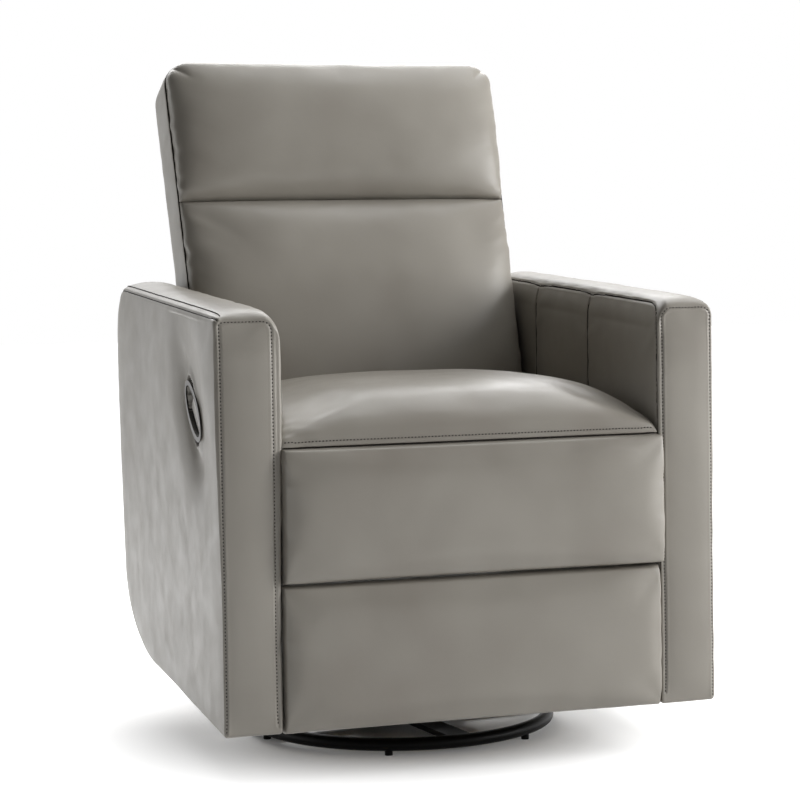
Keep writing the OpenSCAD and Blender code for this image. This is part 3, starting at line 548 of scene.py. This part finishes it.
def buildArm(side, name):
    a = armShape
    wide = a["outerX"] - a["innerX"]
    stations, shares = armGrid(side)
    tops, bellies = [armTop(side, y) for y in stations], [armBelly(y) for y in stations]
    last, rows = len(stations) - 1, len(shares) - 1
    loop = ([(0, k) for k in range(rows + 1)] + [(s, rows) for s in range(1, last + 1)]
            + [(last, k) for k in range(rows - 1, -1, -1)] + [(s, 0) for s in range(last - 1, 0, -1)])
    columns = [0, 0.2, 0.8, 1.7, 2.6, 3.5, 4.4, 5.3, 6.2, 7.4, 9, 12]
    columns += list(spaced([(17, 6), (wide - a["innerRound"] - 3, 0)]))
    columns += [wide - a["innerRound"] * (1 - math.sin(t)) for t in np.radians(np.linspace(0, 90, 19))]
    points, faces, count = [], [], len(loop)

    def settle(x, s, k):
        # where a point stands once the edges are rounded
        inner = wide - x
        drop = (quarter(a["innerRound"], inner) * a["innerRoundHigh"] / a["innerRound"]
                + quarter(a["outerRound"][side], x))
        back = quarter(a["faceRound"], inner) + quarter(a["faceRound"], x)
        up = quarter(a["lowRound"], inner) + quarter(a["lowRound"], x)
        rearIn = quarter(a["rearEdge"], inner) + quarter(a["rearEdge"], x)
        high, low = tops[s] - drop, bellies[s] + up
        y = back + stations[s] * (a["depth"] - back - rearIn) / a["depth"]
        return y, low + (high - low) * shares[k]

    def crown(x, left, right, power=2.4):
        s = 2 * (x - left) / (wide - left - right) - 1
        return (1 - abs(s) ** power) ** 0.7 if abs(s) < 1 else 0

    def put(x, y, z):
        points.append(armPlace(side, x + armFlare(side, z) * (2 * x / wide - 1), y, z))

    def quad(p, q, r, t):
        faces.append((p, q, r, t) if side > 0 else (t, r, q, p))

    for x in columns:
        onFront, onTop = crown(x, a["outerStrip"], a["innerStrip"][side]), crown(x, 0.5, -2, 2.2)
        for s, k in loop:
            y, z = settle(x, s, k)
            if s == 0:
                y -= a["frontCrown"] * onFront * min(1, (1 - shares[k]) * 14) * min(1, shares[k] * 20)
            elif k == rows:
                z += (a["topCrown"] * onTop * (1 - math.exp(-stations[s] / 16))
                      * min(1, (a["depth"] - stations[s]) / 50))
            elif s == last:
                y += a["rearCrown"] * onFront
            put(x, y, z)
    for j in range(len(columns) - 1):
        for i in range(count):
            k = (i + 1) % count
            quad(j * count + i, j * count + k, (j + 1) * count + k, (j + 1) * count + i)
    for outer in (True, False):
        x0, base = (0, 0) if outer else (wide, (len(columns) - 1) * count)
        ids = {sk: base + i for i, sk in enumerate(loop)}
        for s in range(1, last):
            low, high = settle(x0, s, 0)[1], settle(x0, s, rows)[1]
            for k in range(1, rows):
                y, z = settle(x0, s, k)
                inside = max(0, min(z - low, high - z, y - a["faceRound"], a["depth"] - a["rearEdge"] - y))
                puff = outerPuff(side, y, z, inside) if outer else -innerPuff(y, z, inside)
                ids[s, k] = len(points)
                put(x0, y, z)
                points[-1].x += side * puff / 1000
        for s in range(last):
            for k in range(rows):
                p, q, r, t = ids[s, k], ids[s + 1, k], ids[s + 1, k + 1], ids[s, k + 1]
                quad(p, q, r, t) if outer else quad(t, r, q, p)
    return addPiece(name, points, faces, leather, "chassis")


def armSeams(side):
    a = armShape
    wide, top = a["outerX"] - a["innerX"], armTop(side, a["frontRound"])
    rear = a["depth"] - a["rearRound"]
    out, strip, cap = a["outerStrip"], a["innerStrip"][side], a["capSeam"]
    turned, low, bend = a["innerRound"], a["seamLow"], a["outerRound"][side] - 1

    def along(x, drop, start=9, pinch=0):
        # back along the top, pinched down at the panel seams, and down the rear edge
        line = []
        for y in spaced([(start, 12), (rear, 0)]):
            pull = pinch * sum(math.exp(-((y - p) / 22) ** 2) for p in a["panelSeamShade"])
            line.append((x, y, armTop(side, y) - drop - pull))
        for t in np.radians(range(10, 91, 10)):
            y = rear + a["rearRound"] * math.sin(t) - min(drop, 3) * math.sin(t)
            z = armTop(side, rear) - a["rearRound"] + (a["rearRound"] - drop) * math.cos(t)
            line.append((x, y, z))
        line += [(x, a["depth"], z) for z in range(600, 250, -20)]
        return [armPlace(side, *p) for p in line]

    # round the front panel: up the outer edge, across under the top, round the corner and down
    face = [(out, -4, z) for z in range(low, int(top - cap - 8), 20)]
    face += [(out + bend * (1 - math.cos(t)), -4, top - cap - bend * (1 - math.sin(t)))
             for t in np.radians(range(0, 91, 15))]
    face += [(wide - turned + (turned - strip) * math.sin(t), -4,
              top - turned + (turned - cap) * math.cos(t)) for t in np.radians(range(0, 91, 9))]
    face += [(wide - strip, -4, z) for z in range(int(top - turned - 10), low, -20)]
    # the inner border: up behind the front edge, round its corner and back along the top
    edge = 4 if side > 0 else 14
    inner = [(wide + 1, edge, z) for z in range(low, int(top - 40), 20)]
    inner += [(wide + 1 - 9.2 * math.sin(t), edge + 36 - 36 * math.cos(t), top - 37 + 38.5 * math.sin(t))
              for t in np.radians(range(0, 90, 10))]
    return {
        "face": [armPlace(side, *p) for p in face],
        "corner": along(0.6, 1.6, 4), "cornerRow": along(a["ridge"], -6),
        "inner": [armPlace(side, *p) for p in inner] + along(wide - 8.2, -1.5, edge + 38, 3.5),
        "panels": [[armPlace(side, wide + 3, y, z) for z in np.linspace(armTop(side, y) - 5, 440, 12)]
                   for y in a["panelSeamShade"]],
        "outerEdge": [armPlace(side, -1, 4, z) for z in range(low, 640, 20)],
    }


seamPress = {  # (mm from the seam, mm outwards)
    "face": [(0, -1.0), (0.9, -0.6), (1.9, 0), (3.2, 0.5), (5.5, 0)],
    "border": [(0, -1.6), (0.9, -0.7), (1.8, 0.5), (3.4, 0.8), (5.2, 0.3), (7.5, 0)],
    "row": [(0, -1.1), (1, -0.5), (2.2, 0.2), (4, 0)],
    "panels": [(0, -3.4), (0.9, -2.2), (2, -0.8), (4, 0.1), (8, 0)],
    "seat": [(0, -0.7), (1.2, -0.3), (2.6, 0.1), (5, 0)],
}
# radii of the dark cords of painted shade laid in the seams
shadeCordRadius = {"arm": 0.0010, "border": 0.0014, "seat": 0.0010, "backFront": 0.0013, "backRear": 0.0008,
              "headrest": 0.0011}


def upholsterArm(side, name, coverNode, padNode):
    piece = buildArm(side, name)
    seams = armSeams(side)
    surface = surfaceOf(piece)
    for key in ("face", "corner", "cornerRow", "inner"):
        seams[key] = layOn(surface, seams[key])[0]
    seams["panels"] = [layOn(surface, line)[0] for line in seams["panels"]]
    pressSeam(piece, [seams["face"]], seamPress["face"])
    pressSeam(piece, [seams["corner"], seams["inner"]], seamPress["border"])
    pressSeam(piece, [seams["cornerRow"]], seamPress["row"])
    pressSeam(piece, seams["panels"], seamPress["panels"])
    gather(piece, seams["panels"], 0.0026, 0.022, 0.018, 5.0 + side, 0.3)
    gather(piece, [seams["inner"]], 0.0028, 0.036, 0.016, 9.0 + side)
    gather(piece, [seams["corner"], seams["face"]], 0.0010, 0.026, 0.014, 13.0 + side)
    gather(piece, [seams["outerEdge"]], 0.0007, 0.034, 0.022, 17.0 + side, 0.2)
    ripple(piece, 0.0007, 7.0, 3.1 + side)
    ripple(piece, 0.0004, 15.0, 8.3 + side, None, (1, 1, 0.25))
    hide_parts(coverNode, padNode)
    surface = surfaceOf(piece)
    sewStitches(name + "Stitches", [layOn(surface, seams[k]) for k in ("face", "cornerRow")], "chassis")
    # dark cords of painted shade in the corner, panel and inner border seams
    edges = [layOn(surface, s) for s in [seams["corner"], *seams["panels"]]]
    layShadeCord(name + "SeamShade", edges, shadeCordRadius["arm"], "chassis")
    layShadeCord(name + "BorderShade", [layOn(surface, seams["inner"])], shadeCordRadius["border"], "chassis")


upholsterArm(-1, "leftArmUpholstery", "left_arm_cover", "left_arm_pad")
upholsterArm(1, "rightArmUpholstery", "right_arm_cover", "right_arm_pad")
print("arms upholstered")


def rim(s, power):
    return np.maximum(0, 1 - np.abs(s) ** power) ** (1 / power)


def spread(n):
    return np.sin(np.linspace(-math.pi / 2, math.pi / 2, n + 1) * 0.86) / math.sin(math.pi / 2 * 0.86)


def cushionFace(look):
    u, v = np.meshgrid(spread(look["across"]), spread(look["along"]))
    half = look["wide"] / 2 + (look.get("topWide", look["wide"]) - look["wide"]) / 2 * (v + 1) / 2
    kx, ky = look["powers"]
    z = look["edge"] + look["crown"] * rim(u, kx) * rim(v, ky)
    y = (v + 1) * look["long"] / 2
    x = u * half
    if "corner" in look:  # rounded upper corners
        r = look["corner"]
        dx, dy = np.abs(x) - (half - r), y - (look["long"] - r)
        inside = (dx > 0) & (dy > 0)
        reach = np.hypot(dx, dy)
        square = np.maximum(dx, dy)
        shrink = np.where(inside & (reach > 0), square / np.maximum(reach, 1e-9), 1)
        x = np.where(inside, np.sign(x) * (half - r + dx * shrink), x)
        y = np.where(inside, look["long"] - r + dy * shrink, y)
    return np.stack([x, y, z], 2) / 1000


filling = {"stretch": 22, "shear": 8, "bend": 6, "pressure": 3, "steps": 20, "passes": 30, "smooth": 0.88,
           "raw": 0.12, "ripple": 0.0012, "rippleSize": 8, "holdRows": 5, "draw": 0.985}


def stuffCushion(piece, pinned, look, shape):
    # cloth with air pressure and its sewn edge held; the movement is smoothed, and capped
    start = np.array([v.co for v in piece.data.vertices])
    held = piece.vertex_groups.new(name="sewnEdge")
    held.add(pinned, 1.0, "REPLACE")
    cloth = piece.modifiers.new("stuffing", "CLOTH")
    fabric = cloth.settings
    fabric.quality = 5
    fabric.mass = 0.4
    fabric.tension_stiffness = fabric.compression_stiffness = filling["stretch"]
    fabric.shear_stiffness = filling["shear"]
    fabric.bending_stiffness = filling["bend"]
    fabric.tension_damping = fabric.compression_damping = 12
    fabric.air_damping = 3
    fabric.vertex_group_mass = "sewnEdge"
    fabric.shrink_min = -look["ease"]
    fabric.use_pressure = True
    fabric.uniform_pressure_force = filling["pressure"]
    fabric.effector_weights.gravity = 0
    cloth.collision_settings.use_collision = False
    cloth.collision_settings.use_self_collision = False
    scene = bpy.context.scene
    for step in range(1, filling["steps"] + 1):
        scene.frame_set(step)
    shaped = piece.evaluated_get(bpy.context.evaluated_depsgraph_get()).to_mesh()
    moved = np.array([v.co for v in shaped.vertices]) - start
    piece.evaluated_get(bpy.context.evaluated_depsgraph_get()).to_mesh_clear()
    piece.modifiers.remove(cloth)
    scene.frame_set(1)
    calm = moved.reshape(*shape, 3).copy()
    for _ in range(filling["passes"]):
        calm[1:-1, 1:-1] = (2 * calm[1:-1, 1:-1] + calm[:-2, 1:-1] + calm[2:, 1:-1]
                            + calm[1:-1, :-2] + calm[1:-1, 2:]) / 6
    moved = calm.reshape(-1, 3) * filling["smooth"] + moved * filling["raw"]
    cap = look["cap"]
    far = np.linalg.norm(moved, axis=1)
    moved *= (cap * np.tanh(far / cap) / np.maximum(far, 1e-9))[:, None]
    writeMesh(piece, start + moved * look.get("take", 1.0))


def sewCushion(name, look, place, body, *cadNodes):
    face = cushionFace(look)
    rows, cols = face.shape[:2]
    points = face.reshape(-1, 3)
    faces = [(j * cols + i, j * cols + i + 1, (j + 1) * cols + i + 1, (j + 1) * cols + i)
             for j in range(rows - 1) for i in range(cols - 1)]
    border = (list(range(cols)) + [j * cols + cols - 1 for j in range(1, rows)]
              + [(rows - 1) * cols + i for i in range(cols - 2, -1, -1)]
              + [j * cols for j in range(rows - 2, 0, -1)])
    piece = addPiece(name, points, faces, leather, None)
    stuffCushion(piece, border, look, (rows, cols))
    hold = []
    for k in range(len(points)):
        j, i = divmod(k, cols)
        hold.append(min(1.0, min(i, j, cols - 1 - i, rows - 1 - j) / filling["holdRows"]))
    ripple(piece, filling["ripple"], filling["rippleSize"], look["seed"], hold)
    tops = [piece.data.vertices[k].co.copy() for k in range(len(points))]
    # sides go back from the sewn edge to a closed underside
    depth = look["edge"] / 1000
    mid = Vector((0, look["long"] / 2000, 0))
    more = []
    for share, draw in ((0.2, 0.998), (1.0, filling["draw"])):
        for k in border:
            p = tops[k]
            more.append(Vector((p.x * draw, mid.y + (p.y - mid.y) * draw, p.z - depth * share)))
    n = len(border)
    first = len(tops)
    for k in range(n):
        q = (k + 1) % n
        faces.append((border[q], border[k], first + k, first + q))
        faces.append((first + q, first + k, first + n + k, first + n + q))
    # the flat underside, on the same grid
    slot = {v: k for k, v in enumerate(border)}
    flatIds = []
    for v in range(len(tops)):
        if v in slot:
            flatIds.append(first + n + slot[v])
            continue
        flatIds.append(first + len(more))
        p = Vector(points[v])
        more.append(Vector((p.x * filling["draw"], mid.y + (p.y - mid.y) * filling["draw"], 0)))
    for j in range(rows - 1):
        for i in range(cols - 1):
            a, b = flatIds[j * cols + i:j * cols + i + 2]
            c, d = flatIds[(j + 1) * cols + i:(j + 1) * cols + i + 2]
            faces.append((b, a, c, d))
    bpy.data.objects.remove(piece)
    piece = addPiece(name, tops + more, faces, leather, None, place)
    smooth = piece.modifiers.new("softer", "SUBSURF")
    smooth.levels = smooth.render_levels = 1
    bakeShape(piece)
    half, top = look["wide"] / 2, look.get("topWide", look["wide"]) / 2
    high = look["long"] - look.get("corner", 0)

    def onEdge(x, y):
        return place @ Vector((x / 1000, y / 1000, look["edge"] / 1000))

    sides = [[onEdge(s * (half + (top - half) * t), t * high) for t in np.linspace(0, 1, 30)]
             for s in (-1, 1)]
    ends = [[onEdge(x * w, y) for x in np.linspace(-1, 1, 40)]
            for w, y in ((half, 0), (top - look.get("corner", 0), look["long"]))]
    gather(piece, sides, look["pull"], 0.021, 0.022, look["seed"] + 1)
    gather(piece, ends, look["pull"] * 0.12, 0.040, 0.014, look["seed"] + 5)
    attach(piece, body)
    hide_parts(*cadNodes)
    return piece


# mm, but cap and pull in metres, and ease as a share of the cloth
seatShape = {"wide": 566, "long": 500, "edge": 2, "crown": 75, "powers": (3.1, 3), "across": 90, "along": 76,
             "ease": 0.004, "cap": 0.008, "fill": 0.75, "pull": 0.004, "seed": 4.0}
panelShape = {"behind": 71, "low": 287, "wide": 565, "long": 189.7, "edge": 68, "crown": 21,
              "powers": (9, 5), "across": 110, "along": 44, "swell": 7.5,
              "ease": 0.003, "cap": 0.006, "fill": 0.7, "pull": 0.0028, "seed": 7.0}
footShape = {"behind": 46, "low": 77, "wide": 568, "long": 207, "edge": 38, "crown": 18,
             "powers": (9, 5), "across": 110, "along": 46, "swell": 4,
             "ease": 0.003, "cap": 0.006, "fill": 0.7, "pull": 0.0028, "seed": 11.0}
backShape = {"low": 400, "lean": 19.9, "behind": 517, "long": 702, "seam": 454, "lumbarLow": 60,
             "lowWide": 543, "topWide": 572, "thick": 88, "corner": 40}


def backWide(z):
    return backShape["lowWide"] + (backShape["topWide"] - backShape["lowWide"]) * z / backShape["long"]


lumbarLow, headLow, backTop = backShape["lumbarLow"], backShape["seam"], backShape["long"]
lumbarShape = {"wide": backWide(lumbarLow), "topWide": backWide(headLow), "long": headLow - lumbarLow,
               "edge": 8, "crown": 46, "powers": (3.2, 3), "across": 96, "along": 70,
               "ease": 0.004, "cap": 0.010, "take": 0.5, "fill": 0.75, "pull": 0.0055, "seed": 15.0}
headShape = {"wide": backWide(headLow), "topWide": backWide(backTop), "long": backTop - headLow,
             "corner": backShape["corner"], "edge": 8, "crown": 50, "powers": (3.6, 2.6),
             "across": 96, "along": 48,
             "ease": 0.004, "cap": 0.008, "fill": 0.75, "pull": 0.0055, "seed": 19.0}

flat = Matrix.Translation((0, frontY, 0.477))
upright = Matrix.Rotation(math.radians(90), 4, "X")
leaning = Matrix.Rotation(math.radians(-backShape["lean"]), 4, "X")
backPlace = Matrix.Translation((0, fromFront(backShape["behind"]), backShape["low"] / 1000)) @ leaning


def standing(look):
    return Matrix.Translation((0, fromFront(look["behind"]), look["low"] / 1000)) @ upright


def onBack(z):
    return backPlace @ Matrix.Translation((0, 0, z / 1000)) @ upright


seat = sewCushion("seatCushionLeather", seatShape, flat, "seat", "seat_cushion")
panel = sewCushion("seatFrontPanelLeather", panelShape, standing(panelShape), "seat", "seat_front_panel")
foot = sewCushion("footrestLeather", footShape, standing(footShape), "footrest", "footrest_cushion")
sewCushion("lumbarLeather", lumbarShape, onBack(lumbarLow), "back", "lumbar_cushion")
sewCushion("headrestLeather", headShape, onBack(headLow), "back", "headrest_cushion")


def swellEdge(piece, look):
    # the filling swells past the right arm's inner edge, in front of it
    spots, _ = readMesh(piece)
    ahead = np.clip((fromFront(-1) - spots[:, 1]) / 0.007, 0, 1)
    spots[:, 0] += look["swell"] / 1000 * ahead * np.clip((spots[:, 0] - 0.20) / 0.08, 0, 1) ** 2
    writeMesh(piece, spots)


swellEdge(panel, panelShape)
swellEdge(foot, footShape)


seatSeam = {"inset": 0.004, "rowHigh": 0.4865, "shadeCordHigh": 0.4776}


def seatTrim():
    # the seam under the seat's front edge, drawn as a dark cord of painted shade, and the row of stitches
    # above it
    half = seatShape["wide"] / 2000 - seatSeam["inset"]
    across = np.linspace(-half, half, 60)
    row = [(x, fromFront(-3), seatSeam["rowHigh"]) for x in across]
    pressSeam(seat, [layOn(surfaceOf(seat), row)[0]], seamPress["seat"])
    sewStitches("seatStitches", [layOn(surfaceOf(seat), row)], "seat")
    # a dark cord of painted shade in the seam under the seat's front edge
    low = [Vector((x, fromFront(0.8), seatSeam["shadeCordHigh"])) for x in across]
    layShadeCord("seatSeam", [(low, [Vector((0, -1, 0))] * len(low))], shadeCordRadius["seat"], "seat")


seatTrim()
print("cushions sewn")


outlineSteps = {"corner": 12, "edge": 110}  # points round a corner and along an edge


def backOutline(inset):
    b = backShape
    steps, n = outlineSteps["corner"], outlineSteps["edge"]
    r = max(b["corner"] - inset, 4)
    low, top = backWide(0) / 2 - inset, b["topWide"] / 2 - inset
    high = b["long"] - inset
    line = []
    for i in range(n):
        t = i / n
        line.append((-low - (top - low) * t, inset + (high - r - inset) * t))
    for i in range(steps):
        a = math.radians(180 - 90 * i / steps)
        line.append((-top + r + r * math.cos(a), high - r + r * math.sin(a)))
    for i in range(n):
        line.append((-top + r + (2 * top - 2 * r) * i / n, high))
    for i in range(steps):
        a = math.radians(90 - 90 * i / steps)
        line.append((top - r + r * math.cos(a), high - r + r * math.sin(a)))
    for i in range(n):
        t = i / n
        line.append((top - (top - low) * t, high - r - (high - r - inset) * t))
    for i in range(n):
        line.append((low - 2 * low * i / n, inset))
    return line


def ringOnBack(inset, depth):
    return [backPlace @ Vector((x / 1000, depth / 1000, z / 1000)) for x, z in backOutline(inset)]


def wrapBack():
    thick, low = backShape["thick"], outlineSteps["edge"]
    # (inset, distance back) from the front lining round the boxing to the rear panel
    section = [(60, 3), (24, 2), (9, 0), (3.5, -3), (1.6, -6), (0.8, -7), (0.1, -7.2), (-0.6, -6.4),
               (-1.1, -4.5), (-1.3, -1), (-1.5, 5), (-1.8, 14), (-2, 26), (-2, thick / 2), (-2, thick - 26),
               (-1.6, thick - 14), (-1, thick - 8), (0.2, thick - 4), (1.6, thick - 1.6), (3.4, thick - 0.4),
               (5.6, thick + 0.4), (8, thick + 0.6), (9.4, thick - 0.2), (10.8, thick + 0.6),
               (15, thick + 1.2), (24, thick + 2)]
    rearShares = (0.06, 0.14, 0.24, 0.36, 0.5, 0.66, 0.84)  # the rear panel's rings, in to its middle
    rings = [backOutline(inset) for inset, _ in section]
    count, total = len(rings[0]), len(section) + len(rearShares)
    points, faces = [], []
    for (_, depth), ring in zip(section, rings):
        points += [(x / 1000, depth / 1000, z / 1000) for x, z in ring]
    middle = backShape["long"] / 2
    for share in rearShares:
        depth = thick + 2 + 5 * math.sin(share * math.pi / 2)
        points += [(x * (1 - share) / 1000, depth / 1000, (middle + (z - middle) * (1 - share)) / 1000)
                   for x, z in rings[-1]]
    for s in range(total - 1):
        for i in range(count):
            k = (i + 1) % count
            faces.append((s * count + i, s * count + k, (s + 1) * count + k, (s + 1) * count + i))
    faces.append(tuple(reversed(range(count))))
    points.append((0, (thick + 7) / 1000, middle / 1000))
    inmost = (total - 1) * count
    faces += [(inmost + i, inmost + (i + 1) % count, len(points) - 1) for i in range(count)]
    piece = addPiece("backWrapLeather", points, faces, leather, "back", backPlace)
    gather(piece, [ringOnBack(-0.6, -6.4)], 0.0028, 0.010, 0.022, 31.0, 0.1)
    gather(piece, [ringOnBack(3.4, thick - 0.4)], 0.0012, 0.022, 0.016, 37.0, 0.1)
    ripple(piece, 0.0010, 8.0, 23.0)
    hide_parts("back_shell")
    # rows of stitches and the cords of painted seam shade leave out the outline's last run, along the lower
    # edge
    surface = surfaceOf(piece)
    sewStitches("backStitches", [layOn(surface, ringOnBack(9.4, thick - 0.2)[:-low - 14])], "back")
    # dark cords of painted shade in the front, rear and headrest seams
    front = ringOnBack(0.4, -7.4)[:-low]
    ahead = (backPlace.to_3x3() @ Vector((0, -1, 0))).normalized()
    layShadeCord("backFrontSeamShade", [(front, [ahead] * len(front))], shadeCordRadius["backFront"], "back")
    layShadeCord("backRearSeamShade", [layOn(surface, ringOnBack(3.4, thick)[:-low])], shadeCordRadius["backRear"], "back")
    seam = backShape["seam"]
    half = backWide(seam) / 2 - 2
    across = [backPlace @ Vector((x / 1000, -0.0085, seam / 1000)) for x in np.linspace(-half, half, 60)]
    layShadeCord("headrestSeamShade", [(across, [ahead] * len(across))], shadeCordRadius["headrest"], "back")


wrapBack()
print("back wrapped")


view = {"place": (-1.0909, -3.63385, 0.7720), "yaw": 17.85, "pitch": 2.56, "roll": -0.86,
        "focal": 2397.4, "axis": (437.1, 341.2), "pixels": 800, "sensor": 36}


def placeCamera():
    yaw, pitch, roll = (math.radians(view[k]) for k in ("yaw", "pitch", "roll"))
    ahead = Vector((math.sin(yaw) * math.cos(pitch), math.cos(yaw) * math.cos(pitch), -math.sin(pitch)))
    right = Vector((math.cos(yaw), -math.sin(yaw), 0))
    up = right.cross(ahead)
    right2 = right * math.cos(roll) + up * math.sin(roll)
    up2 = up * math.cos(roll) - right * math.sin(roll)
    lens = bpy.data.cameras.new("photoCamera")
    pixels, middle = view["pixels"], view["pixels"] / 2
    lens.sensor_width = view["sensor"]
    lens.lens = view["focal"] / pixels * view["sensor"]
    lens.shift_x = (middle - view["axis"][0]) / pixels
    lens.shift_y = (view["axis"][1] - middle) / pixels
    lens.clip_end = 60
    camera = bpy.data.objects.new("photoCamera", lens)
    camera.matrix_world = Matrix((
        (right2.x, up2.x, -ahead.x, view["place"][0]),
        (right2.y, up2.y, -ahead.y, view["place"][1]),
        (right2.z, up2.z, -ahead.z, view["place"][2]),
        (0, 0, 0, 1)))
    bpy.context.scene.collection.objects.link(camera)
    bpy.context.scene.camera = camera


softboxes = {
    "keyRight": {"at": (2.9, -1.9, 1.4), "size": (1.6, 2.0), "power": 66},
    "edgeRight": {"at": (3.2, -1.2, 1.35), "size": (1.6, 2.0), "power": 42},
    "backTop": {"at": (0.2, 2.2, 2.4), "size": (3.0, 1.4), "power": 63},
    "overhead": {"at": (0.95, 0.35, 3.1), "aim": (0.1, 0, 0.6), "size": (1.6, 2.0), "power": 26},
    "lowLeft": {"at": (-2.5, 0.75, 0.42), "aim": (-0.37, 0.2, 0.38), "size": (2.4, 0.8), "power": 6.5},
}


def hangSoftboxes():
    for name, box in softboxes.items():
        lamp = bpy.data.lights.new(name, "AREA")
        lamp.shape = "RECTANGLE"
        lamp.size, lamp.size_y = box["size"]
        lamp.energy = box["power"]
        obj = bpy.data.objects.new(name, lamp)
        obj.location = box["at"]
        aim = Vector(box.get("aim", (0, 0, 0.6))) - Vector(box["at"])
        obj.rotation_euler = aim.to_track_quat("-Z", "Y").to_euler()
        bpy.context.scene.collection.objects.link(obj)


studio = {
    "floor": 14.0, "floorTone": 0.80, "shadowNear": 0.18, "shadowFar": 0.60,
    "sky": 0.30, "dimSky": 0.025, "dimSide": (-0.80, -0.55, 0.25), "dimSpan": (-0.2, 0.75), "shine": 0.9,
}


def addMath(tree, kind, source):
    node = tree.nodes.new("ShaderNodeMath")
    node.operation = kind
    tree.links.new(source, node.inputs[0])
    return node


def seenWhite(tree):
    # 1 for what the camera sees directly or through glass; the second node has an input free
    path = tree.nodes.new("ShaderNodeLightPath")
    first = addMath(tree, "MAXIMUM", path.outputs["Is Camera Ray"])
    tree.links.new(path.outputs["Is Transmission Ray"], first.inputs[1])
    second = addMath(tree, "MAXIMUM", first.outputs[0])
    second.inputs[1].default_value = 0
    return path, second


def layFloor():
    half, tone = studio["floor"], studio["floorTone"]
    mat, tree, shader, coord = newFinish("paleFloor")
    link = tree.links.new
    setInputs(shader, {"Base Color": (tone, tone, tone, 1), "Roughness": 0.9, "Specular IOR Level": 0.1})
    path, seen = seenWhite(tree)
    link(path.outputs["Is Glossy Ray"], seen.inputs[1])
    away = tree.nodes.new("ShaderNodeVectorMath")
    away.operation = "LENGTH"
    link(coord.outputs["Object"], away.inputs[0])
    # no glow under the chair, so its shadow stays
    span = addRange(tree, away.outputs["Value"], 0, 1, studio["shadowNear"], studio["shadowFar"])
    span.interpolation_type = "SMOOTHSTEP"
    scale = addMath(tree, "MULTIPLY", seen.outputs[0])
    link(span.outputs["Result"], scale.inputs[1])
    glow = tree.nodes.new("ShaderNodeEmission")
    link(scale.outputs[0], glow.inputs["Strength"])
    both = tree.nodes.new("ShaderNodeAddShader")
    link(shader.outputs[0], both.inputs[0])
    link(glow.outputs[0], both.inputs[1])
    link(both.outputs[0], tree.nodes["Material Output"].inputs["Surface"])
    corners = [(-half, -half, 0), (half, -half, 0), (half, half, 0), (-half, half, 0)]
    floor = addPiece("studioFloor", corners, [(0, 1, 2, 3)], mat, None)


def hangSky():
    # an even sky that is dimmer on the side the photographer stands on
    world = bpy.data.worlds.new("studioWorld")
    bpy.context.scene.world = world
    world.use_nodes = True
    tree = world.node_tree
    link = tree.links.new
    coord = tree.nodes.new("ShaderNodeTexCoord")
    facing = tree.nodes.new("ShaderNodeVectorMath")
    facing.operation = "DOT_PRODUCT"
    facing.inputs[1].default_value = Vector(studio["dimSide"]).normalized()
    link(coord.outputs["Generated"], facing.inputs[0])
    span = addRange(tree, facing.outputs["Value"], studio["sky"], studio["dimSky"], *studio["dimSpan"])
    span.interpolation_type = "SMOOTHSTEP"
    brighter = addMath(tree, "MULTIPLY", span.outputs["Result"])
    brighter.inputs[1].default_value = studio["shine"] / studio["sky"]
    back = tree.nodes["Background"]
    shine, white = tree.nodes.new("ShaderNodeBackground"), tree.nodes.new("ShaderNodeBackground")
    for node in (back, shine, white):
        setInputs(node, {"Color": (1, 1, 1, 1)})
    link(span.outputs["Result"], back.inputs["Strength"])
    link(brighter.outputs[0], shine.inputs["Strength"])
    path, direct = seenWhite(tree)
    glossy, seen = tree.nodes.new("ShaderNodeMixShader"), tree.nodes.new("ShaderNodeMixShader")
    link(path.outputs["Is Glossy Ray"], glossy.inputs["Fac"])
    link(back.outputs[0], glossy.inputs[1])
    link(shine.outputs[0], glossy.inputs[2])
    link(direct.outputs[0], seen.inputs["Fac"])
    link(glossy.outputs[0], seen.inputs[1])
    link(white.outputs[0], seen.inputs[2])
    link(seen.outputs[0], tree.nodes["World Output"].inputs["Surface"])


placeCamera()
hangSoftboxes()
layFloor()
hangSky()
bpy.context.scene.view_settings.view_transform = "Standard"
print("studio set")
